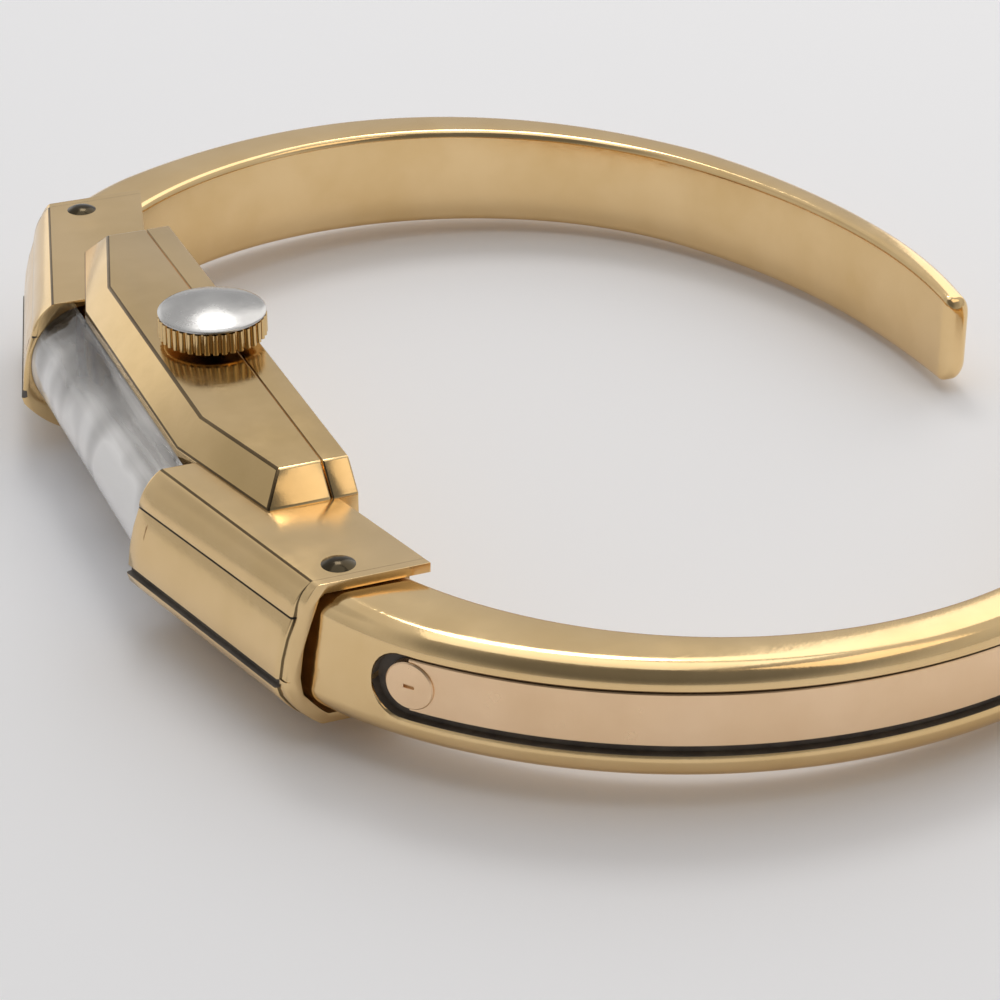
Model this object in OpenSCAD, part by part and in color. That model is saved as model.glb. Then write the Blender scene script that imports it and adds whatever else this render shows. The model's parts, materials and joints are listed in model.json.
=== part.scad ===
// A cuff bracelet watch: a two-part case with a domed crystal, two hooded end blocks
// and two stiff arms that swing on pins. X runs from the dial to the wrist, Y from
// 6 o'clock to 12 o'clock, and Z from 9 o'clock to the crown. The origin is the
// middle of the case back's outer face.

/* [Case] */
// Depth of the case from the back's face to the front of the side plateau
case_t = 5.1; // [5.1:0.1:5.6]
// Half length of the straight front edge of the plateau
front_half = 7.85; // [7.4:0.05:8.6]
// Half length of the plateau, from the middle to one end
end_half = 14.1; // [13.4:0.1:14.4]
// Depth of the plateau at its ends
end_t = 3.4; // [3.0:0.1:3.9]
// Half width of the case from the middle to the crown side
side_half = 4.65; // [4.6:0.05:5.2]
// Width of the bevel round the plateau
bevel = 1.3; // [1.0:0.05:1.35]
// Depth of the case back at the split line
back_t = 1.3; // [1.2:0.05:1.35]
// Half length of the room for the movement
room_len = 8.8; // [8.7:0.05:9.1]
// Half width of the room for the movement
room_w = 3.75; // [3.7:0.05:3.95]
// Half length of the dial window
window_len = 7.6; // [6.8:0.1:7.7]
// Half width of the dial window
window_w = 2.55; // [2.5:0.05:2.6]
// Thickness of the window's rim
rim_t = 1.3; // [1.0:0.05:1.3]

/* [Crystal] */
// Outer radius of the domed crystal
glass_r = 2.95; // [2.9:0.05:3.0]
// Wall of the crystal
glass_wall = 0.7; // [0.5:0.05:0.8]
// Distance of the dome's axis behind the window's rim
glass_axis = 0.5; // [0.4:0.05:0.6]
// Half length of the crystal, under the hoods
glass_half = 10.3; // [10.0:0.05:10.4]

/* [End blocks] */
// Tilt of each end block towards the wrist, in degrees
hood_tilt = 11; // [9:0.5:12]
// Distance from the middle to the arch of an end block
arch_y = 9.3; // [9.1:0.05:9.5]
// Distance of the plate's front edge in front of the case's origin face
plate_x = 7.75; // [7.65:0.05:7.9]
// Length of an end block
hood_len = 14.3; // [13.9:0.1:15]
// Depth of the side plates, from front edge to wrist edge
plate_w = 5.8; // [5.6:0.1:6.2]
// Half height of an end block
hood_half = 3.3; // [3.3:0.02:3.36]
// Thickness of the side plates
plate_t = 0.47; // [0.4:0.01:0.5]
// How far the front face stands in front of the plates' edges
hood_bulge = 1.5; // [1.4:0.05:1.7]
// Wall of the front face
hood_wall = 0.7; // [0.65:0.05:0.75]
// Half width of the flat band between the two grooves
band_half = 1.3; // [1.1:0.05:1.4]
// Width of the two grooves
groove_w = 0.35; // [0.25:0.05:0.45]
// Depth of the two grooves
groove_d = 0.3; // [0.2:0.05:0.35]
// Length of the plain rim at the arm's end
rim_len = 0.9; // [0.6:0.1:1.2]
// Where the web inside an end block begins
web_at = 7.1; // [7:0.1:7.4]
// Thickness of the web
web_t = 1.6; // [1.2:0.1:1.8]

/* [Hinges] */
// Distance of the hinge pin from the arm's end of the block
pin_from_end = 1.9; // [1.8:0.05:2]
// Distance of the hinge pin behind the plate's front edge
pin_depth = 2.43; // [2.4:0.01:2.5]
// Radius of the hinge pin
pin_r = 0.5; // [0.4:0.05:0.6]
// Radius of the pin's domed head
pin_head_r = 0.78; // [0.7:0.02:0.9]
// Running clearance round the pin
pin_clear = 0.03; // [0.02:0.01:0.05]
// How far the 6 o'clock arm stands open in the photographed state, in degrees
open_6 = 21.7; // [16:0.1:22]

/* [Arms] */
// Half height of an arm
arm_half = 2.75; // [2.6:0.01:2.76]
// Inner radius of an arm's side bend
bend_r = 20.5; // [20:0.1:21]
// Inner radius of an arm at the back of the wrist
back_r = 37; // [33:1:42]
// Angle where the back stretch begins
back_from = 29.9; // [26:0.1:33]
// Angle where an arm ends
tip_at = -4.2; // [-4.2:0.1:-2]
// Thickness of an arm away from its hinge
arm_t = 2.55; // [2.3:0.05:2.7]
// Thickness of an arm at its tip
tip_t = 1.45; // [1.4:0.05:1.7]
// How far the outer face's centre lies off the bend's centre, which thickens the root
root_shift = 3; // [2.7:0.05:3.1]
// Angle where the thick root has run out
root_from = 60; // [55:1:62]
// Distance of the hinge pin outside an arm's inner face
pin_inset = 2.1433; // [2.1:0.01:2.2]
// Angle of the hinge pin about the bend's centre
pin_angle = 137.148; // [136.8:0.1:137.6]
// Width of the flat outer face between the shoulders
face_half = 1.75; // [1.65:0.05:1.8]
// Radial depth of the rounded shoulders
shoulder = 1.1; // [0.8:0.05:1.2]
// Width of the broken inner edges
edge_ease = 0.2; // [0.1:0.05:0.3]
// Radius of the rounding at the tips
tip_round = 0.6; // [0.5:0.01:0.65]

/* [Inlay] */
// Half width of the channel in an arm
channel_half = 1.5; // [1.35:0.05:1.55]
// Depth of the channel
channel_d = 0.5; // [0.4:0.05:0.6]
// Half width of the inlay strip
strip_half = 1.15; // [0.9:0.05:1.2]
// Thickness of the inlay strip
strip_t = 0.3; // [0.2:0.05:0.35]
// Radius of the rivets at the ends of the strip
rivet_r = 1.15; // [0.9:0.05:1.2]
// Height of the rivets
rivet_t = 0.4; // [0.3:0.05:0.4]
// Angle of the rivet near the hinge
rivet_at = 123.5; // [120:0.5:124]
// Angle of the rivet near the tip
rivet_tip_at = 1; // [0:0.5:6]

/* [Crown] */
// Distance of the crown's axis in front of the back's face
crown_x = 2; // [1.95:0.01:2.05]
// Radius of the crown
crown_r = 2.7; // [2.3:0.05:2.8]
// Height of the crown's rim
crown_h = 1.15; // [1:0.05:1.4]
// Gap between the crown and the case
crown_gap = 0.3; // [0.2:0.05:0.4]
// Height of the cap's dome
cap_h = 0.5; // [0.35:0.05:0.7]
// Number of flutes round the crown
flutes = 40; // [30:1:48]
// Radius of the stem
stem_r = 0.3; // [0.26:0.01:0.3]
// Outer radius of the stem's tube
tube_r = 0.5; // [0.46:0.01:0.5]

/* [Movement] */
// Gap between the movement's plate and the case at each end
plate_end_gap = 0.3; // [0.2:0.05:0.4]
// Gap between the movement's plate and the case along each side
plate_side_gap = 0.15; // [0.1:0.05:0.2]
// Radius of the small pivots
pivot_r = 0.12; // [0.1:0.01:0.14]
// Clearance round the small pivots
pivot_clear = 0.02; // [0.02:0.01:0.04]
// Outer radius of the jewels
jewel_r = 0.38; // [0.34:0.01:0.42]
// Thickness of the wheels
wheel_t = 0.16; // [0.12:0.01:0.16]
// Balance radius, as a share of the room past its staff
balance_share = 0.68; // [0.64:0.01:0.7]
// Length of the minute hand
minute_len = 2.3; // [1.9:0.05:2.35]
// Length of the hour hand
hour_len = 1.55; // [1.3:0.05:1.7]

/* [Hidden] */
$fn = 64;
pin_fn = 48;
fit = 0.03;
thin = 0.01;

// Levels through the case, along X
front_x = -case_t - bevel;
dial_front = front_x + rim_t;
dial_t = 0.35;
dial_back = dial_front + dial_t;
plate_front = dial_back + 0.75;
plate_back = plate_front + 1;
bridge_front = plate_back + 1.5;
bridge_back = bridge_front + 0.55;
top_front = bridge_back + 0.05;
top_back = top_front + 0.25;
room_back = -0.5;
core_y = arch_y + 0.3;
plate_half_len = room_len - plate_end_gap;
plate_half_w = room_w - plate_side_gap;
feet_from_end = 0.8;

// Outline of the bevel's foot, from the plateau's own outline
slope_len = norm([case_t - end_t, end_half - front_half]);
slope_x = (case_t - end_t) / slope_len;
slope_y = (end_half - front_half) / slope_len;
foot_front_y = front_half + bevel * (1 - slope_y) / slope_x;
foot_end_y = end_half + bevel;
foot_end_x = -case_t - bevel * slope_y + slope_x * (foot_end_y - front_half - bevel * slope_x) / slope_y;

// Hinge and arm, on the 12 o'clock side
pin_u = hood_len - pin_from_end;
pin_x = -plate_x + pin_depth * cos(hood_tilt) + pin_u * sin(hood_tilt);
pin_y = arch_y - pin_depth * sin(hood_tilt) + pin_u * cos(hood_tilt);
bend = [pin_x, pin_y] - (bend_r + pin_inset) * [cos(pin_angle), sin(pin_angle)];
root = bend - root_shift * [cos(root_from), sin(root_from)];
root_r = bend_r + arm_t + root_shift;
back = bend - (back_r - bend_r) * [cos(back_from), sin(back_from)];
root_to = atan2(pin_y - root[1], pin_x - root[0]);
knuckle_r = pin_inset - 0.04;
hood_inside = hood_half - plate_t;

// Crown and stem, along Z
crown_z = side_half + crown_gap;
cap_z = crown_z + crown_h;
bore_z = plate_half_w - 0.62;
clutch_z = 1.6;
pilot_z = 0.65;
clutch_len = 0.68;
winder_z = 2.35;
winder_len = 0.55;
winder_r = 0.68;

// Places of the arbors, as [y, z], and the teeth of the wheels
barrel_at = [-3.85, 0];
third_at = [2.2, -0.9];
fourth_at = [4.1, -0.14];
escape_at = [5.2, -1.58];
pallet_at = [6.1, -0.3];
balance_at = [6.3, 1.6];
minute_at = [1.6, 1.06];
setting_at = [0.25, 2.74];
crown_wheel_at = [0, 1.1];
click_at = [-2.5, 2.95];
barrel_teeth = 68;
centre_leaves = 9;
centre_teeth = 60;
third_leaves = 8;
third_teeth = 56;
fourth_leaves = 7;
fourth_teeth = 60;
escape_leaves = 6;
escape_teeth = 15;
cannon_teeth = 12;
minute_teeth = 36;
minute_leaves = 10;
hour_teeth = 40;
setting_teeth = 18;
ratchet_teeth = 30;
crown_wheel_teeth = 20;
winder_teeth = 8;

function reach(a, b) = norm(b - a);
function heading(a, b) = atan2(b[1] - a[1], b[0] - a[0]);
function pitch_r(a, b, own, other) = reach(a, b) * own / (own + other);
function mesh_phase(n_a, phase_a, n_b, dir) = dir + 180 + (dir - phase_a) * n_a / n_b + 180 / n_b;

barrel_r = pitch_r(barrel_at, [0, 0], barrel_teeth, centre_leaves);
centre_pinion_r = pitch_r(barrel_at, [0, 0], centre_leaves, barrel_teeth);
centre_r = pitch_r([0, 0], third_at, centre_teeth, third_leaves);
third_pinion_r = pitch_r([0, 0], third_at, third_leaves, centre_teeth);
third_r = pitch_r(third_at, fourth_at, third_teeth, fourth_leaves);
fourth_pinion_r = pitch_r(third_at, fourth_at, fourth_leaves, third_teeth);
fourth_r = pitch_r(fourth_at, escape_at, fourth_teeth, escape_leaves);
escape_pinion_r = pitch_r(fourth_at, escape_at, escape_leaves, fourth_teeth);
escape_r = 1.15;
balance_r = balance_share * (room_len - balance_at[0]);
cannon_r = pitch_r([0, 0], minute_at, cannon_teeth, minute_teeth);
minute_r = pitch_r([0, 0], minute_at, minute_teeth, cannon_teeth);
hour_r = pitch_r([0, 0], minute_at, hour_teeth, minute_leaves);
minute_pinion_r = pitch_r([0, 0], minute_at, minute_leaves, hour_teeth);
setting_r = reach(minute_at, setting_at) - minute_r;
ratchet_r = pitch_r(barrel_at, crown_wheel_at, ratchet_teeth, crown_wheel_teeth);
crown_wheel_r = pitch_r(barrel_at, crown_wheel_at, crown_wheel_teeth, ratchet_teeth);

// Local [y, z, x] to the watch's own axes, at a level along X
module level(x) {
  translate([x, 0, 0]) rotate([90, 0, 90]) children();
}

module arbor(at, from, to, r) {
  translate([0, at[0], at[1]]) level(from) cylinder(r = r, h = to - from, $fn = 32);
}

// Plan outline of the case at the plateau, and at the foot of its bevel
function plateau_plan() = [
  [0, -end_half], [0, end_half], [-end_t, end_half], [-case_t, front_half],
  [-case_t, -front_half], [-end_t, -end_half]
];
function foot_plan() = [
  [0, -foot_end_y], [0, foot_end_y], [foot_end_x, foot_end_y], [front_x, foot_front_y],
  [front_x, -foot_front_y], [foot_end_x, -foot_end_y]
];

module case_form() {
  hull() {
    linear_extrude(2 * side_half, center = true) polygon(plateau_plan());
    linear_extrude(2 * (side_half - bevel), center = true) polygon(foot_plan());
  }
}

// One end block's own frame: X from the plate's front edge to the wrist, Y to the arm
module block_place(side) {
  mirror([0, side < 0 ? 1 : 0, 0]) translate([-plate_x, arch_y, 0]) rotate([0, 0, -hood_tilt]) children();
}

// Slots in the case's ends that the side plates of the end blocks slide into
module plate_slots() {
  for (side = [-1, 1]) intersection() {
    translate([-10, side > 0 ? core_y - fit : -core_y + fit - 10, -6]) cube([20, 10, 12]);
    block_place(side) for (up = [-1, 1])
      translate([-1, -3, up * (hood_half - plate_t / 2) - plate_t / 2 - fit])
        cube([plate_w + 1 + fit, web_at + 3 + fit, plate_t + 2 * fit]);
  }
}

// The middle of each end stops short of the end block's web
module past_web() {
  stop_y = arch_y + web_at * cos(hood_tilt) - plate_w * sin(hood_tilt) - fit;
  for (side = [-1, 1]) mirror([0, side < 0 ? 1 : 0, 0])
    translate([-10, stop_y, -hood_half - 2 * fit]) cube([20, 5, 2 * hood_half + 4 * fit]);
}

module case_body() {
  color("#c79a52") difference() {
    case_form();
    translate([-back_t, -20, -10]) cube([10, 40, 20]);
    translate([dial_front, -room_len, -room_w]) cube([10, 2 * room_len, 2 * room_w]);
    translate([front_x - 1, -window_len, -window_w]) cube([5, 2 * window_len, 2 * window_w]);
    translate([-crown_x, 0, 0]) cylinder(r = tube_r, h = 10, $fn = pin_fn);
    plate_slots();
    past_web();
  }
}

module case_back() {
  lip = 0.17;
  lip_t = 0.28;
  color("#c79a52") difference() {
    union() {
      intersection() {
        case_form();
        translate([-back_t, -20, -10]) cube([back_t, 40, 20]);
      }
      translate([-back_t - lip, -room_len + fit, -room_w + fit])
        cube([lip + thin, 2 * (room_len - fit), 2 * (room_w - fit)]);
    }
    translate([-back_t - 1, -room_len + lip_t, -room_w + lip_t])
      cube([back_t + 1 + room_back, 2 * (room_len - lip_t), 2 * (room_w - lip_t)]);
    plate_slots();
    past_web();
  }
}

module crystal() {
  lip = 0.35;
  color([0.8, 0.85, 0.88, 0.4]) difference() {
    union() {
      intersection() {
        translate([front_x + glass_axis, glass_half, 0]) rotate([90, 0, 0]) cylinder(r = glass_r, h = 2 * glass_half, $fn = 96);
        translate([front_x - 10, -15, -10]) cube([10, 30, 20]);
      }
      translate([front_x - thin, -window_len + fit, -window_w + fit])
        cube([lip + thin, 2 * (window_len - fit), 2 * (window_w - fit)]);
    }
    intersection() {
      translate([front_x + glass_axis, glass_half - glass_wall, 0]) rotate([90, 0, 0])
        cylinder(r = glass_r - glass_wall, h = 2 * (glass_half - glass_wall), $fn = 96);
      translate([front_x - 10, -15, -10]) cube([10, 30, 20]);
    }
    translate([front_x - 0.2, -window_len + 0.3, -glass_r + glass_wall + 0.1])
      cube([2, 2 * (window_len - 0.3), 2 * (glass_r - glass_wall - 0.1)]);
  }
}

module dial() {
  color("#e9e2cf") difference() {
    translate([dial_front, -room_len + 0.1, -room_w + 0.1]) cube([dial_t, 2 * (room_len - 0.1), 2 * (room_w - 0.1)]);
    arbor([0, 0], dial_front - 1, dial_back + 1, 0.62);
  }
}

// A bar at each hour on the long oblong dial
module hour_markers() {
  bar_t = 0.12;
  long_y = window_len - 0.9;
  wide_z = window_w - 0.5;
  color("#d8b25c") for (h = [0 : 11]) {
    a = 30 * h;
    s = min(long_y / max(abs(cos(a)), 0.01), wide_z / max(abs(sin(a)), 0.01));
    translate([dial_front - bar_t, s * cos(a), s * sin(a)]) rotate([abs(cos(a)) * long_y / wide_z < 0.6 ? 90 : 0, 0, 0])
      translate([0, -0.35, -0.09]) cube([bar_t, 0.7, 0.18]);
  }
}

module dial_spacer() {
  color("#b9b4a6") difference() {
    translate([dial_back, -room_len + 0.1, -room_w + 0.1])
      cube([plate_front - dial_back, 2 * (room_len - 0.1), 2 * (room_w - 0.1)]);
    translate([dial_back - 1, -room_len + 0.9, -room_w + 0.55])
      cube([5, 2 * (room_len - 0.9), 2 * (room_w - 0.55)]);
    translate([dial_back - 1, -2.4, -room_w - 1]) cube([5, 4.8, 2 * room_w + 2]);
  }
}

// A flat toothed disc, drawn in the local [y, z] plane
function tooth_points(n, r, m, phase) = [
  for (i = [0 : n - 1], k = [0 : 3])
    let (a = 360 / n * (i + [-0.27, -0.1, 0.1, 0.27][k]) + phase,
         q = k == 0 || k == 3 ? r - 1.15 * m : r + 0.8 * m)
    [q * cos(a), q * sin(a)]
];

module toothed(n, r, h, phase) {
  linear_extrude(h) polygon(tooth_points(n, r, 2 * r / n, phase));
}

module spoked_wheel(n, r, h, phase, hub_r, spokes) {
  rim_in = r - 2.3 * r / n - 0.16;
  linear_extrude(h) {
    difference() {
      polygon(tooth_points(n, r, 2 * r / n, phase));
      circle(r = rim_in);
    }
    circle(r = hub_r);
    for (i = [0 : spokes - 1]) rotate(360 / spokes * i) translate([0, -0.08]) square([rim_in + 0.05, 0.16]);
  }
}

module wheel_at(at, x) {
  translate([0, at[0], at[1]]) level(x) children();
}

centre_level = plate_back + 0.05;
third_level = bridge_front - 0.27;
fourth_level = plate_back + 0.36;
escape_level = plate_back + 0.8;
pallet_bridge_level = escape_level + wheel_t + 0.06;
balance_level = bridge_front - 0.25;
hair_level = balance_level + 0.4;
centre_phase = heading([0, 0], third_at);
barrel_phase = heading(barrel_at, [0, 0]);
third_phase = heading(third_at, fourth_at);
fourth_phase = heading(fourth_at, escape_at);
cannon_phase = heading([0, 0], minute_at);
minute_phase = mesh_phase(cannon_teeth, cannon_phase, minute_teeth, heading([0, 0], minute_at));
hour_phase = heading([0, 0], minute_at);
crown_wheel_phase = heading(crown_wheel_at, barrel_at);

module centre_wheel() {
  color("#d6b35a") {
    wheel_at([0, 0], centre_level) spoked_wheel(centre_teeth, centre_r, wheel_t, centre_phase, 0.5, 5);
    wheel_at([0, 0], centre_level + wheel_t) toothed(centre_leaves, centre_pinion_r, third_level - 0.1 - centre_level - wheel_t,
      mesh_phase(barrel_teeth, barrel_phase, centre_leaves, barrel_phase));
    arbor([0, 0], plate_front - 0.3, bridge_front + 0.18, 0.2);
  }
}

module cannon_pinion() {
  color("#c8ccd2") difference() {
    union() {
      wheel_at([0, 0], plate_front - 0.3) toothed(cannon_teeth, cannon_r, 0.22, cannon_phase);
      arbor([0, 0], dial_front - 0.5, plate_front - 0.3, 0.28);
    }
    arbor([0, 0], plate_front - 0.3 - thin, plate_front, 0.2);
  }
}

module third_wheel() {
  color("#d6b35a") {
    wheel_at(third_at, third_level) spoked_wheel(third_teeth, third_r, wheel_t, third_phase, 0.4, 4);
    wheel_at(third_at, centre_level - 0.03)
      toothed(third_leaves, third_pinion_r, 0.3, mesh_phase(centre_teeth, centre_phase, third_leaves, centre_phase));
    arbor(third_at, centre_level, third_level, 0.2);
    arbor(third_at, plate_back - 0.4, bridge_front + 0.4, pivot_r);
  }
}

module fourth_wheel() {
  color("#d6b35a") {
    wheel_at(fourth_at, fourth_level) spoked_wheel(fourth_teeth, fourth_r, wheel_t, fourth_phase, 0.35, 4);
    wheel_at(fourth_at, third_level - 0.06)
      toothed(fourth_leaves, fourth_pinion_r, 0.28, mesh_phase(third_teeth, third_phase, fourth_leaves, third_phase));
    arbor(fourth_at, fourth_level, third_level, 0.15);
    arbor(fourth_at, plate_back - 0.4, bridge_front + 0.4, pivot_r);
  }
}

// Ratchet-like teeth of the escape wheel and of the ratchet wheel
function hooked_points(n, r_tip, r_root) = [
  for (i = [0 : n - 1], k = [0 : 1])
    let (a = 360 / n * (i + (k == 0 ? 0 : 0.18)), q = k == 0 ? r_tip : r_root) [q * cos(a), q * sin(a)]
];

module escape_wheel() {
  color("#c8ccd2") {
    wheel_at(escape_at, escape_level) linear_extrude(wheel_t) {
      difference() {
        polygon(hooked_points(escape_teeth, escape_r, escape_r - 0.28));
        circle(r = escape_r - 0.45);
      }
      circle(r = 0.3);
      for (i = [0 : 3]) rotate(90 * i) translate([0, -0.07]) square([escape_r - 0.4, 0.14]);
    }
    wheel_at(escape_at, fourth_level - 0.04)
      toothed(escape_leaves, escape_pinion_r, 0.26, mesh_phase(fourth_teeth, fourth_phase, escape_leaves, fourth_phase));
    arbor(escape_at, plate_back - 0.4, bridge_front + 0.4, pivot_r - 0.02);
  }
}

// The two stones stand just clear of the escape wheel's tips
module pallet_fork() {
  to_escape = heading(pallet_at, escape_at);
  to_balance = heading(pallet_at, balance_at);
  color("#c8ccd2") {
    wheel_at(pallet_at, escape_level) linear_extrude(wheel_t) {
      circle(r = 0.25);
      rotate(to_balance) translate([0, -0.1]) square([1.2, 0.2]);
      rotate(to_balance) difference() {
        translate([1.1, -0.3]) square([0.35, 0.6]);
        translate([1.25, -0.14]) square([0.3, 0.28]);
      }
      rotate(to_escape) translate([-0.12, -0.62]) square([0.24, 1.24]);
      for (up = [-1, 1]) rotate(to_escape) translate([0, up * 0.56 - 0.06]) square([0.33, 0.12]);
    }
    arbor(pallet_at, plate_back - 0.4, pallet_bridge_level + 0.11, pivot_r - 0.02);
  }
}

module balance_wheel() {
  color("#d6b35a") {
    wheel_at(balance_at, balance_level) linear_extrude(0.2) {
      difference() {
        circle(r = balance_r);
        circle(r = balance_r - 0.25);
      }
      circle(r = 0.35);
      translate([-balance_r + 0.1, -0.12]) square([2 * balance_r - 0.2, 0.24]);
    }
    wheel_at(balance_at, escape_level + wheel_t + 0.1) cylinder(r = 0.5, h = 0.12, $fn = 40);
    arbor(balance_at, escape_level + wheel_t, balance_level, 0.18);
    arbor(balance_at, balance_level, hair_level + 0.12, 0.32);
    arbor(balance_at, plate_back - 0.4, bridge_back + 0.2, pivot_r - 0.02);
  }
}

// A flat spiral of the given turns, as the outline of one band
function spiral_points(r_in, r_out, turns, w) = [
  for (i = [0 : 16 * turns]) let (q = r_in + (r_out - r_in) * i / (16 * turns)) [q * cos(22.5 * i), q * sin(22.5 * i)],
  for (i = [16 * turns : -1 : 0])
    let (q = r_in + (r_out - r_in) * i / (16 * turns) + w) [q * cos(22.5 * i), q * sin(22.5 * i)]
];

// The spring's outer end is held by a stud under the cock
module hairspring() {
  r_out = 1.05;
  color("#3d5a9a") {
    wheel_at(balance_at, hair_level) rotate([0, 0, heading(balance_at, cock_foot)]) {
      linear_extrude(0.12) polygon(spiral_points(0.36, r_out, 5, 0.04));
      translate([r_out + 0.02, 0, 0]) cylinder(r = 0.1, h = bridge_back - 0.2 - hair_level, $fn = 24);
    }
  }
}

module mainspring() {
  color("#8f959c") wheel_at(barrel_at, plate_back + 0.6) linear_extrude(0.55)
    polygon(spiral_points(0.85, 2.7, 7, 0.12));
}

module barrel_drum() {
  color("#d6b35a") difference() {
    union() {
      wheel_at(barrel_at, plate_back + 0.35) toothed(barrel_teeth, barrel_r, 0.25, barrel_phase);
      arbor(barrel_at, plate_back + 0.35, bridge_front - 0.3, barrel_r - 0.25);
    }
    arbor(barrel_at, plate_back + 0.55, bridge_front, barrel_r - 0.45);
    arbor(barrel_at, plate_back, bridge_front, 0.3 + pivot_clear);
  }
}

module barrel_cover() {
  color("#d6b35a") difference() {
    arbor(barrel_at, bridge_front - 0.3, bridge_front - 0.12, barrel_r - 0.25);
    arbor(barrel_at, bridge_front - 1, bridge_front, 0.3 + pivot_clear);
  }
}

module barrel_arbor() {
  color("#c8ccd2") {
    arbor(barrel_at, plate_back - 0.4, top_back, 0.3);
    arbor(barrel_at, plate_back + 0.58, bridge_front - 0.33, 0.7);
  }
}

module ratchet_wheel() {
  dir = heading(barrel_at, crown_wheel_at);
  color("#c8ccd2") difference() {
    wheel_at(barrel_at, top_front) toothed(ratchet_teeth, ratchet_r, top_back - top_front,
      mesh_phase(crown_wheel_teeth, crown_wheel_phase, ratchet_teeth, dir + 180));
    arbor(barrel_at, top_front - 1, top_back + 1, 0.3);
  }
}

module crown_wheel() {
  color("#c8ccd2") difference() {
    union() {
      wheel_at(crown_wheel_at, top_front)
        toothed(crown_wheel_teeth, crown_wheel_r, top_back - top_front, crown_wheel_phase);
      wheel_at(crown_wheel_at, bridge_front + 0.24) cylinder(r = crown_wheel_r - 0.2, h = top_front - bridge_front - 0.23);
    }
    arbor(crown_wheel_at, bridge_front, top_back + 1, 0.5 + pivot_clear);
  }
}

module click() {
  color("#c8ccd2") {
    wheel_at(click_at, top_front) linear_extrude(0.18) {
      circle(r = 0.3);
      rotate(195) translate([0, -0.13]) square([0.8, 0.26]);
    }
    arbor(click_at, bridge_back - 0.3, top_front, pivot_r + 0.04);
  }
}

module minute_wheel() {
  dir = heading([0, 0], minute_at);
  color("#d6b35a") difference() {
    union() {
      wheel_at(minute_at, plate_front - 0.28) spoked_wheel(minute_teeth, minute_r, wheel_t, minute_phase, 0.45, 4);
      wheel_at(minute_at, dial_back + 0.1)
        toothed(minute_leaves, minute_pinion_r, plate_front - 0.28 - dial_back - 0.1, mesh_phase(hour_teeth, hour_phase, minute_leaves, dir));
    }
    arbor(minute_at, dial_front, plate_front, pivot_r + pivot_clear);
  }
}

module hour_wheel() {
  color("#d6b35a") difference() {
    union() {
      wheel_at([0, 0], dial_back + 0.12) toothed(hour_teeth, hour_r, 0.2, hour_phase);
      arbor([0, 0], dial_front - 0.2, dial_back + 0.12, 0.5);
    }
    arbor([0, 0], dial_front - 1, plate_front, 0.28 + fit);
  }
}

module setting_wheel() {
  dir = heading(minute_at, setting_at);
  color("#c8ccd2") difference() {
    wheel_at(setting_at, plate_front - 0.28)
      toothed(setting_teeth, setting_r, 0.2, mesh_phase(minute_teeth, minute_phase, setting_teeth, dir));
    arbor(setting_at, dial_front, plate_front, pivot_r + pivot_clear);
  }
}

// A tapering hand with a round boss, along +Y from the centre
module hand(length, boss_r, bore_r, x, t) {
  level(x) difference() {
    linear_extrude(t) {
      circle(r = boss_r);
      polygon([
        [0, -0.16], [length * 0.55, -0.13], [length, -0.02], [length, 0.02], [length * 0.55, 0.13], [0, 0.16]
      ]);
    }
    translate([0, 0, -1]) cylinder(r = bore_r, h = 5, $fn = 32);
  }
}

hand_t = 0.12;
hour_hand_turn = -55;
minute_hand_turn = 60;

module hour_hand() {
  color("#2c2a26") rotate([hour_hand_turn, 0, 0]) hand(hour_len, 0.62, 0.5, dial_front - 0.2 - thin, hand_t);
}

module minute_hand() {
  color("#2c2a26") rotate([minute_hand_turn, 0, 0]) hand(minute_len, 0.42, 0.28, dial_front - 0.5, hand_t);
}

module pivot_hole(at, r) {
  arbor(at, plate_back - 0.42, plate_back + 1, r);
}

module main_plate() {
  color("#c9c3b2") difference() {
    union() {
      translate([plate_front, -plate_half_len, -plate_half_w])
        cube([plate_back - plate_front, 2 * plate_half_len, 2 * plate_half_w]);
      translate([plate_back - thin, -1, bore_z]) cube([bridge_front - plate_back, 2, plate_half_w - bore_z]);
      arbor(minute_at, dial_back + 0.1, plate_front + thin, pivot_r);
      arbor(setting_at, plate_front - 0.35, plate_front + thin, pivot_r);
    }
    arbor([0, 0], plate_front - 1, plate_back + 1, 0.2 + pivot_clear);
    pivot_hole(barrel_at, 0.3 + pivot_clear);
    pivot_hole(third_at, jewel_r);
    pivot_hole(fourth_at, jewel_r);
    pivot_hole(escape_at, jewel_r);
    pivot_hole(pallet_at, jewel_r);
    pivot_hole(balance_at, jewel_r);
    translate([-crown_x, 0, 0]) cylinder(r = stem_r + fit, h = 10, $fn = 32);
  }
}

// Screw places, as [y, z]
barrel_feet = [[feet_from_end - plate_half_len, 2.75], [feet_from_end - plate_half_len, -2.75], [-0.4, -2.85]];
train_feet = [[2.3, 2.8], [3.85, -2.75]];
cock_foot = [plate_half_len - feet_from_end, -2.1];
foot_r = 0.5;

module feet(places) {
  for (p = places) arbor(p, plate_back, bridge_front + thin, foot_r);
}

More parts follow.
